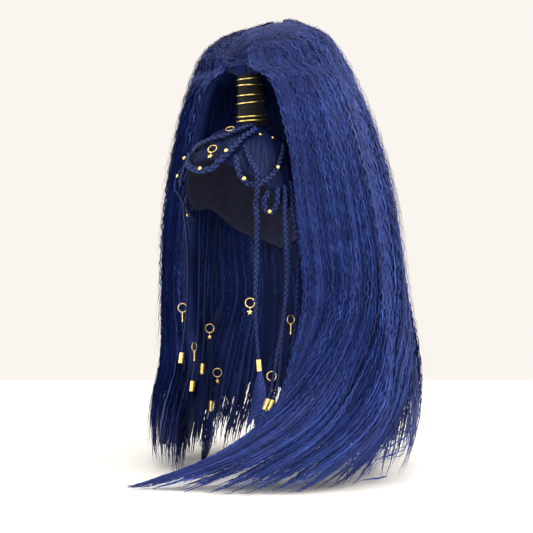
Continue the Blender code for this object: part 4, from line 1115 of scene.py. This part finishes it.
def plaitRadius(name, share, length):
    if name in loops:
        return np.full_like(share, loops[name][0])
    radius, _, _, cuff, loose = hanging[name]
    narrow = plaits["cuffedRadius"] if cuff else radius * 0.8
    cuff = cuff or plaits["uncuffedEnd"]
    half = (plaits["cuffLength"] / 2 + plaits["endGap"]) / length
    upper = radius + (narrow - radius) * ease((share / (cuff - half) - 0.35) / 0.55)
    below = np.maximum(0, share - cuff - half) / (1 - cuff - half)
    swell = narrow + (loose - narrow) * ease(below / 0.35)
    return np.where(share < cuff - half, upper, swell * (1 - 0.86 * ease((below - 0.45) / 0.55)))


routes = {}


def plaitMiddle(points):
    inside = np.zeros_like(points)
    inside[..., 2] = np.minimum(points[..., 2], -head["crownHeight"] * 0.6)
    return inside


def wovenPart(name, pieceName, lengths, plaitEnd):
    # three strands that cross over one another
    route, total = routes[name][0], lengths[-1]
    pitch = plaits["pitch"] * (loops if name in loops else hanging)[name][0]
    points = max(8, int(total * plaitEnd / pitch * plaits["points"]))
    along = np.linspace(0, total * plaitEnd, points)
    paths = np.repeat(pointsAt(route, lengths, along)[None], 3, 0)
    alongs = np.repeat(along[None], 3, 0)
    out, sideways = framesFor(paths, plaitMiddle)
    size = plaitRadius(name, along / total, total)[None]
    phase = np.array([[0.0], [1 / 3], [2 / 3]])
    height = np.sin(4 * pi * (alongs / pitch + phase - 0.25))      # painted shade where a strand dips under the others, painted light where it crosses over them
    woven = strandObject(
        pieceName + "Woven", paths, out, sideways, alongs, finishes["plaited"],
        {"Wave Pitch": pitch, "Zigzag": 0.15, "Lift Beats": 2.0, "Ribbon": False, "Sides": 7,
         "Flatness": 0.86},
        sway=size * plaits["offset"], lift=size * plaits["depth"], half=size * plaits["strand"],
        phase=phase, tone=np.clip(0.46 + 0.62 * height, 0, 1),
    )
    worn(woven, "plaited_hair", name)


def loosePart(name, pieceName, lengths, plaitEnd):
    # the crimped tail below the cuff
    route, total = routes[name][0], lengths[-1]
    rng = np.random.default_rng(sum(map(ord, name)))
    count = int(30 + hanging[name][4] * 4600)
    each = (count, 1)
    base = np.linspace(total * (plaitEnd - 0.2 * plaits["cuffLength"] / total), total, plaits["loosePoints"])
    size = plaitRadius(name, base / total, total)[None]
    paths = np.repeat(pointsAt(route, lengths, base)[None], count, 0)
    out, sideways = framesFor(paths, plaitMiddle)
    angle = rng.uniform(0, 2 * pi, each)
    reach = np.minimum(size, plaits["looseReach"]) * np.sqrt(rng.random(each))
    paths = paths + out * (reach * np.sin(angle))[..., None] + sideways * (reach * np.cos(angle))[..., None]
    alongs = np.repeat((base - base[0])[None], count, 0)
    way = np.linspace(0, 1, plaits["loosePoints"])[None]
    fade = 1 - 0.8 * ease((way - 0.7) / 0.3)
    tails = strandObject(
        pieceName + "Loose", paths, out, sideways, alongs, finishes["tail"],
        {"Wave Pitch": 0.0090, "Zigzag": 0.6, "Lift Beats": 1.0, "Ribbon": True},
        sway=0.0021 * ease(way * 5) * fade, lift=0.0006 * ease(way * 5), half=0.0007 * fade,
        phase=0.30 * rng.standard_normal(each), tone=np.clip(0.45 + 0.2 * rng.standard_normal(each), 0, 1),
    )
    worn(tails, "plaited_hair", name)


def plaitPiece(name):
    route = routeOf(name)
    lengths = lengthsAlong(route)
    routes[name] = (route, lengths / lengths[-1])
    first, *others = name.split("_")
    pieceName = first + "".join(word.title() for word in others)
    if name in loops:
        wovenPart(name, pieceName, lengths, 1.0)
        return
    plaitEnd = (hanging[name][3] or plaits["uncuffedEnd"]) + plaits["cuffLength"] / 2 / lengths[-1]
    wovenPart(name, pieceName, lengths, plaitEnd)
    loosePart(name, pieceName, lengths, plaitEnd)


for name in [*loops, *hanging]:
    plaitPiece(name)
say("loops and plaits")


# The wrap: a band of cloth wound round and round the root of the tail

wound = {"turns": 12, "step": 0.0007, "rows": 132, "around": 44, "fuzz": 0.00016, "sunk": 0.0002}


def wrapRadius(height):
    return wrap["baseRadius"] + (wrap["topRadius"] - wrap["baseRadius"]) * height


def wrapPoint(height, turn, out):
    level = wrap["base"] + wrapAxis * (wrap["length"] * height)
    return level + (Vector((1, 0, 0)) * sin(turn) - Vector(wrapBack) * cos(turn)) * out


def woundCloth():
    rng = np.random.default_rng(51)
    rows, sides = wound["rows"], wound["around"]
    points = []
    for k in range(rows):
        height = k / (rows - 1)
        step = wound["step"] if 0 < k < rows - 1 else 0
        for i in range(sides):
            layer = (height * wound["turns"] + i / sides) % 1
            out = wrapRadius(height) + step * (0.5 - layer) - wound["sunk"]
            out += wound["fuzz"] * rng.standard_normal()
            points.append(wrapPoint(height, 2 * pi * i / sides, out))
    for height in (1.0, 0.0):
        bore = wrapRadius(height) - wrap["wall"]
        points += [wrapPoint(height, 2 * pi * i / sides, bore) for i in range(sides)]
    piece = meshPiece("woundCloth", points, ringFaces(rows + 2, sides, True), finishes["velvet"])
    facingOut(piece)
    worn(piece, "wrap_cloth", "wrap")


woundCloth()


# Gold trim: one shape each, copied onto points by a second geometry tree

def copyTree():
    nodes, given = geometryTree("copiesOnPoints", (("Shape", "Object", None), ("Finish", "Material", None)))
    turned = nodes.add("FunctionNodeEulerToRotation", {}, nodes.stored("turn", "FLOAT_VECTOR"))
    shape = nodes.add("GeometryNodeObjectInfo", {}, Object=given["Shape"])
    placed = nodes.add(
        "GeometryNodeInstanceOnPoints", {}, Points=given["Geometry"], Instance=shape.outputs["Geometry"],
        Rotation=turned.outputs[0], Scale=nodes.stored("size"),
    )
    return endTree(nodes, placed.outputs[0], given["Finish"])


copies = copyTree()


def copiesOf(name, shape, places, nodes):
    # places: (centre, direction of the shape's Z, direction of its X, size)
    data = bpy.data.meshes.new(name + "Points")
    data.from_pydata([tuple(centre) for centre, *_ in places], [], [])
    turns = []
    for _, up, side, _ in places:
        up = Vector(up).normalized()
        side = (Vector(side) - up * up.dot(Vector(side))).normalized()
        turns.extend(Matrix((side, up.cross(side), up)).transposed().to_euler())
    data.attributes.new("turn", "FLOAT_VECTOR", "POINT").data.foreach_set("vector", turns)
    data.attributes.new("size", "FLOAT", "POINT").data.foreach_set("value", [place[3] for place in places])
    holder = bpy.data.objects.new(name + "Points", data)
    bpy.context.scene.collection.objects.link(holder)
    piece = treeMesh(name, holder, copies, {"Shape": shape, "Finish": finishes["gold"]})
    bpy.data.objects.remove(shape)
    worn(piece, "gold", *nodes)


def turnedShape(name, outline, sides, closed=False):
    # an outline of (radius, height) pairs turned round Z; closed joins its last pair to its first
    turns = [2 * pi * i / sides for i in range(sides)]
    points = [(r * cos(turn), r * sin(turn), h) for r, h in outline for turn in turns]
    piece = meshPiece(name, points, ringFaces(len(outline), sides, closed), finishes["gold"])
    facingOut(piece)
    return piece


def wireRing(name, wire, sides=48, around=8):
    outline = [(1 + wire * cos(2 * pi * k / around), wire * sin(2 * pi * k / around)) for k in range(around)]
    return turnedShape(name, outline, sides, closed=True)


trim = {
    "hoopRadius": 0.0062, "hoopWire": 0.00055, "eyeRadius": 0.0016, "eyeWire": 0.00045, "starRadius": 0.0046,
    "starThickness": 0.0012, "starWaist": 0.42, "starRim": 0.35, "barLength": 0.0125, "barRadius": 0.0009,
    "studRadius": 0.0025, "studHeight": 0.75, "cuffRidges": 7, "cuffRidge": 0.00028, "facing": 35,
}
hoopTurns = {       # turned from the camera's side, charm
    "right_cheek": (0, "bar"), "right_jaw": (60, "bar"), "right_ear": (0, "star"), "right_nape": (0, "star"),
    "left_cheek": (12, "star"), "left_ear": (0, "bar"), "left_nape": (40, "bar"), "crown": (None, "star"),
    "upper_crown": (None, None),
}


def fittedCircle(node):
    # centre and axis of the ring that a node's points lie on
    points = np.array([tuple(v.co) for v in cadNodes[node].data.vertices])
    middle = points.mean(0)
    axes = np.linalg.svd(points - middle)[2]
    flat = (points - middle) @ axes[:2].T
    fit = np.linalg.lstsq(np.c_[2 * flat, np.ones(len(flat))], (flat**2).sum(1), rcond=None)[0]
    return Vector(middle + fit[:2] @ axes[:2]), Vector(axes[2])


def wrapRings():
    places = []
    tilt = wrap["ringTilt"]
    for i, share in enumerate(wrap["rings"]):
        centre = wrap["base"].lerp(wrapTop, share)
        tipped = wrapAxis + Vector((tilt * sin(i * 2.1), tilt * cos(i * 1.7), 0))
        places.append((centre, tipped, (1, 0, 0), wrapRadius(share) + wrap["wire"] + cap["gap"]))
    nodes = [f"wrap_ring_{i + 1}" for i in range(len(places))]
    copiesOf("wrapRings", wireRing("ringShape", wrap["wire"] / wrap["ringRadius"], 72, 10), places, nodes)


def starShape():
    # five points, raised in the middle
    half = trim["starThickness"] / 2 / trim["starRadius"]
    rim = []
    for i in range(10):
        reach = trim["starWaist"] if i % 2 else 1
        rim.append((cos(pi * i / 5 + pi / 2) * reach, sin(pi * i / 5 + pi / 2) * reach))
    points = [(x, y, side * half * trim["starRim"]) for side in (1, -1) for x, y in rim]
    points += [(0, 0, half), (0, 0, -half)]
    faces = []
    for i in range(10):
        j = (i + 1) % 10
        faces += [(i, j, 20), (10 + j, 10 + i, 21), (i, 10 + i, 10 + j, j)]
    piece = meshPiece("starShape", points, faces, finishes["gold"])
    facingOut(piece)
    return piece


def barShape():
    # a rod with a rim at its top, a bead under that and a knob at its end
    half = trim["barLength"] / 2
    outline = (
        (0.8, half), (1.2, half - 0.0006), (0.8, half - 0.0013), (0.75, 0.3 * half), (1.15, 0.22 * half),
        (0.75, 0.14 * half), (0.75, 0.0024 - half), (1.35, 0.0016 - half), (1.35, 0.0006 - half),
        (0.8, -half),
    )
    ends = (0.0001, half), (0.0001, -half)
    turned = [(trim["barRadius"] * share, height) for share, height in outline]
    return turnedShape("barShape", [ends[0], *turned, ends[1]], 14)


def hangingGold():
    hoops, eyes, stars, bars = [], [], [], []
    starNodes, barNodes = [], []
    for name, (turned, kind) in hoopTurns.items():
        centre, normal = fittedCircle(name + "_hoop")
        down = Vector((0, 0, -1))
        if turned is None:
            side = normal.cross(Vector((0, 0, 1))).normalized()
            down = normal.cross(side).normalized()
            down = down if down.z < 0 else -down
        else:
            facing = radians(trim["facing"] + turned)
            normal = Vector((sin(facing), -cos(facing), 0))
        hoops.append((centre, normal, down, trim["hoopRadius"]))
        if kind is None:
            continue
        linked = trim["hoopRadius"] + trim["eyeRadius"] - trim["eyeWire"] - trim["hoopWire"] - cap["gap"] / 2
        eye = centre + down * linked
        across = normal.cross(down)
        eyes.append((eye, across, down, trim["eyeRadius"]))
        if kind == "star":
            middle = eye + down * (trim["eyeRadius"] + trim["starRadius"] * 0.9)
            stars.append((middle, normal, across, trim["starRadius"]))
            starNodes.append(name + "_charm")
        else:
            middle = eye + down * (trim["eyeRadius"] + trim["barLength"] / 2 - trim["eyeWire"])
            bars.append((middle, -down, normal, 1.0))
            barNodes.append(name + "_charm")
    hoopWire, eyeWire = trim["hoopWire"] / trim["hoopRadius"], trim["eyeWire"] / trim["eyeRadius"]
    copiesOf("hoops", wireRing("hoopShape", hoopWire), hoops, [name + "_hoop" for name in hoopTurns])
    copiesOf("charmEyes", wireRing("eyeShape", eyeWire, 20, 6), eyes, starNodes + barNodes)
    copiesOf("starCharms", starShape(), stars, starNodes)
    copiesOf("barCharms", barShape(), bars, barNodes)


def studs():
    radius, height = trim["studRadius"], trim["studRadius"] * trim["studHeight"]
    outline = [(max(radius * cos(pi * k / 12), 0.00002), height * sin(pi * k / 12)) for k in range(-6, 7)]
    outline.insert(6, (radius * 1.12, -0.0001))
    places = []
    names = sorted(name for name in cadNodes if name.startswith("stud_"))
    for name in names:
        low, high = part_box(name)
        centre = (low + high) / 2
        places.append((centre, outward(centre), (0, 0, 1), 1.0))
    copiesOf("studs", turnedShape("studShape", outline, 20), places, names)


def cuffs():
    half, bore = plaits["cuffLength"] / 2, plaits["cuffedRadius"] + cap["gap"]
    outline = [(bore, -half), (bore, half)]
    steps = trim["cuffRidges"] * 6
    for k in range(steps + 1):
        ridge = trim["cuffRidge"] * (0.5 + 0.5 * cos(2 * pi * trim["cuffRidges"] * k / steps))
        outline.append((bore + plaits["cuffWall"] * 0.75 + ridge, half - 2 * half * k / steps))
    places = []
    names = sorted(name for name in cadNodes if name.endswith("_cuff"))
    for name in names:
        low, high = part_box(name)
        route, share = routes[name.replace("cuff", "plait")]
        at = hanging[name.replace("cuff", "plait")][3]
        i = int(np.searchsorted(share, at))
        way = Vector(route[min(i + 9, len(route) - 1)] - route[i - 9])
        places.append(((low + high) / 2, way, (1, 0.3, 0), 1.0))
    copiesOf("cuffs", turnedShape("cuffShape", outline, 24, closed=True), places, names)


wrapRings()
hangingGold()
studs()
cuffs()
say("trim")


# Floor, light and camera

stage = {
    "viewAngle": radians(35), "distance": 1.5, "aside": 0.030, "height": -0.191, "focal": 72.3,
    "floorBehind": 1.265, "floorSize": 4.0, "floorBelow": 0.0006,
}
rightward = Vector((cos(stage["viewAngle"]), sin(stage["viewAngle"]), 0))
away = Vector((-sin(stage["viewAngle"]), cos(stage["viewAngle"]), 0))

floorFinish = Finish("floor")
cloudy = floorFinish.noise(floorFinish.objectPlace(), 3.0, 2.0)
floorShades = [(0.2, (0.71, 0.695, 0.67)), (0.8, (0.75, 0.735, 0.71))]
floorFinish.finish(floorFinish.ramp(cloudy, floorShades), 0.55 + cloudy * 0.1)
reach, behind = stage["floorSize"], stage["floorBehind"]
corners = [
    away * back + rightward * side
    for back, side in ((behind, -reach), (behind, reach), (-reach, reach), (-reach, -reach))
]
floorPoints = [(*corner.xy, -tail["fall"] - stage["floorBelow"]) for corner in corners]
meshPiece("floor", floorPoints, [(0, 3, 2, 1)], floorFinish.material)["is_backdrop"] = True

world = bpy.context.scene.world or bpy.data.worlds.new("room")
bpy.context.scene.world = world
world.use_nodes = True
background = world.node_tree.nodes["Background"]
background.inputs[0].default_value = (0.965, 0.915, 0.865, 1)
background.inputs[1].default_value = 1.0
lights = (      # name, to the right, toward the camera, height, size, energy, colour
    ("window", 1.9, 0.6, 1.1, 1.2, 55, (1.0, 0.98, 0.96)),
    ("front", 0.0, 1.6, 0.35, 1.0, 9, (1.0, 0.99, 0.98)),
    ("doorway", -1.9, 0.5, 0.25, 1.0, 26, (0.99, 0.99, 1.0)),
    ("ceiling", 0.0, 0.4, 2.2, 1.6, 40, (1.0, 0.98, 0.95)),
)


def areaLight(name, place, size, energy, colour):
    data = bpy.data.lights.new(name, "AREA")
    data.size = size
    data.energy = energy
    data.color = colour
    made = bpy.data.objects.new(name, data)
    bpy.context.scene.collection.objects.link(made)
    made.location = place
    made.rotation_mode = "QUATERNION"
    made.rotation_quaternion = (Vector((0, 0, -0.15)) - place).to_track_quat("-Z", "Y")


for name, right, near, height, *rest in lights:
    areaLight(name, rightward * right - away * near + Vector((0, 0, height)), *rest)

cameraData = bpy.data.cameras.new("camera")
cameraData.lens = stage["focal"]
cameraData.sensor_width = 36
camera = bpy.data.objects.new("camera", cameraData)
bpy.context.scene.collection.objects.link(camera)
camera.location = away * -stage["distance"] + rightward * stage["aside"] + Vector((0, 0, stage["height"]))
camera.rotation_mode = "QUATERNION"
camera.rotation_quaternion = away.to_track_quat("-Z", "Y")
bpy.context.scene.camera = camera
bpy.context.scene.view_settings.view_transform = "Standard"

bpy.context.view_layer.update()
count = 0
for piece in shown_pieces():
    if piece.type == "MESH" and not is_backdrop(piece):
        piece.data.calc_loop_triangles()
        count += len(piece.data.loop_triangles)
say(f"{count} triangles")
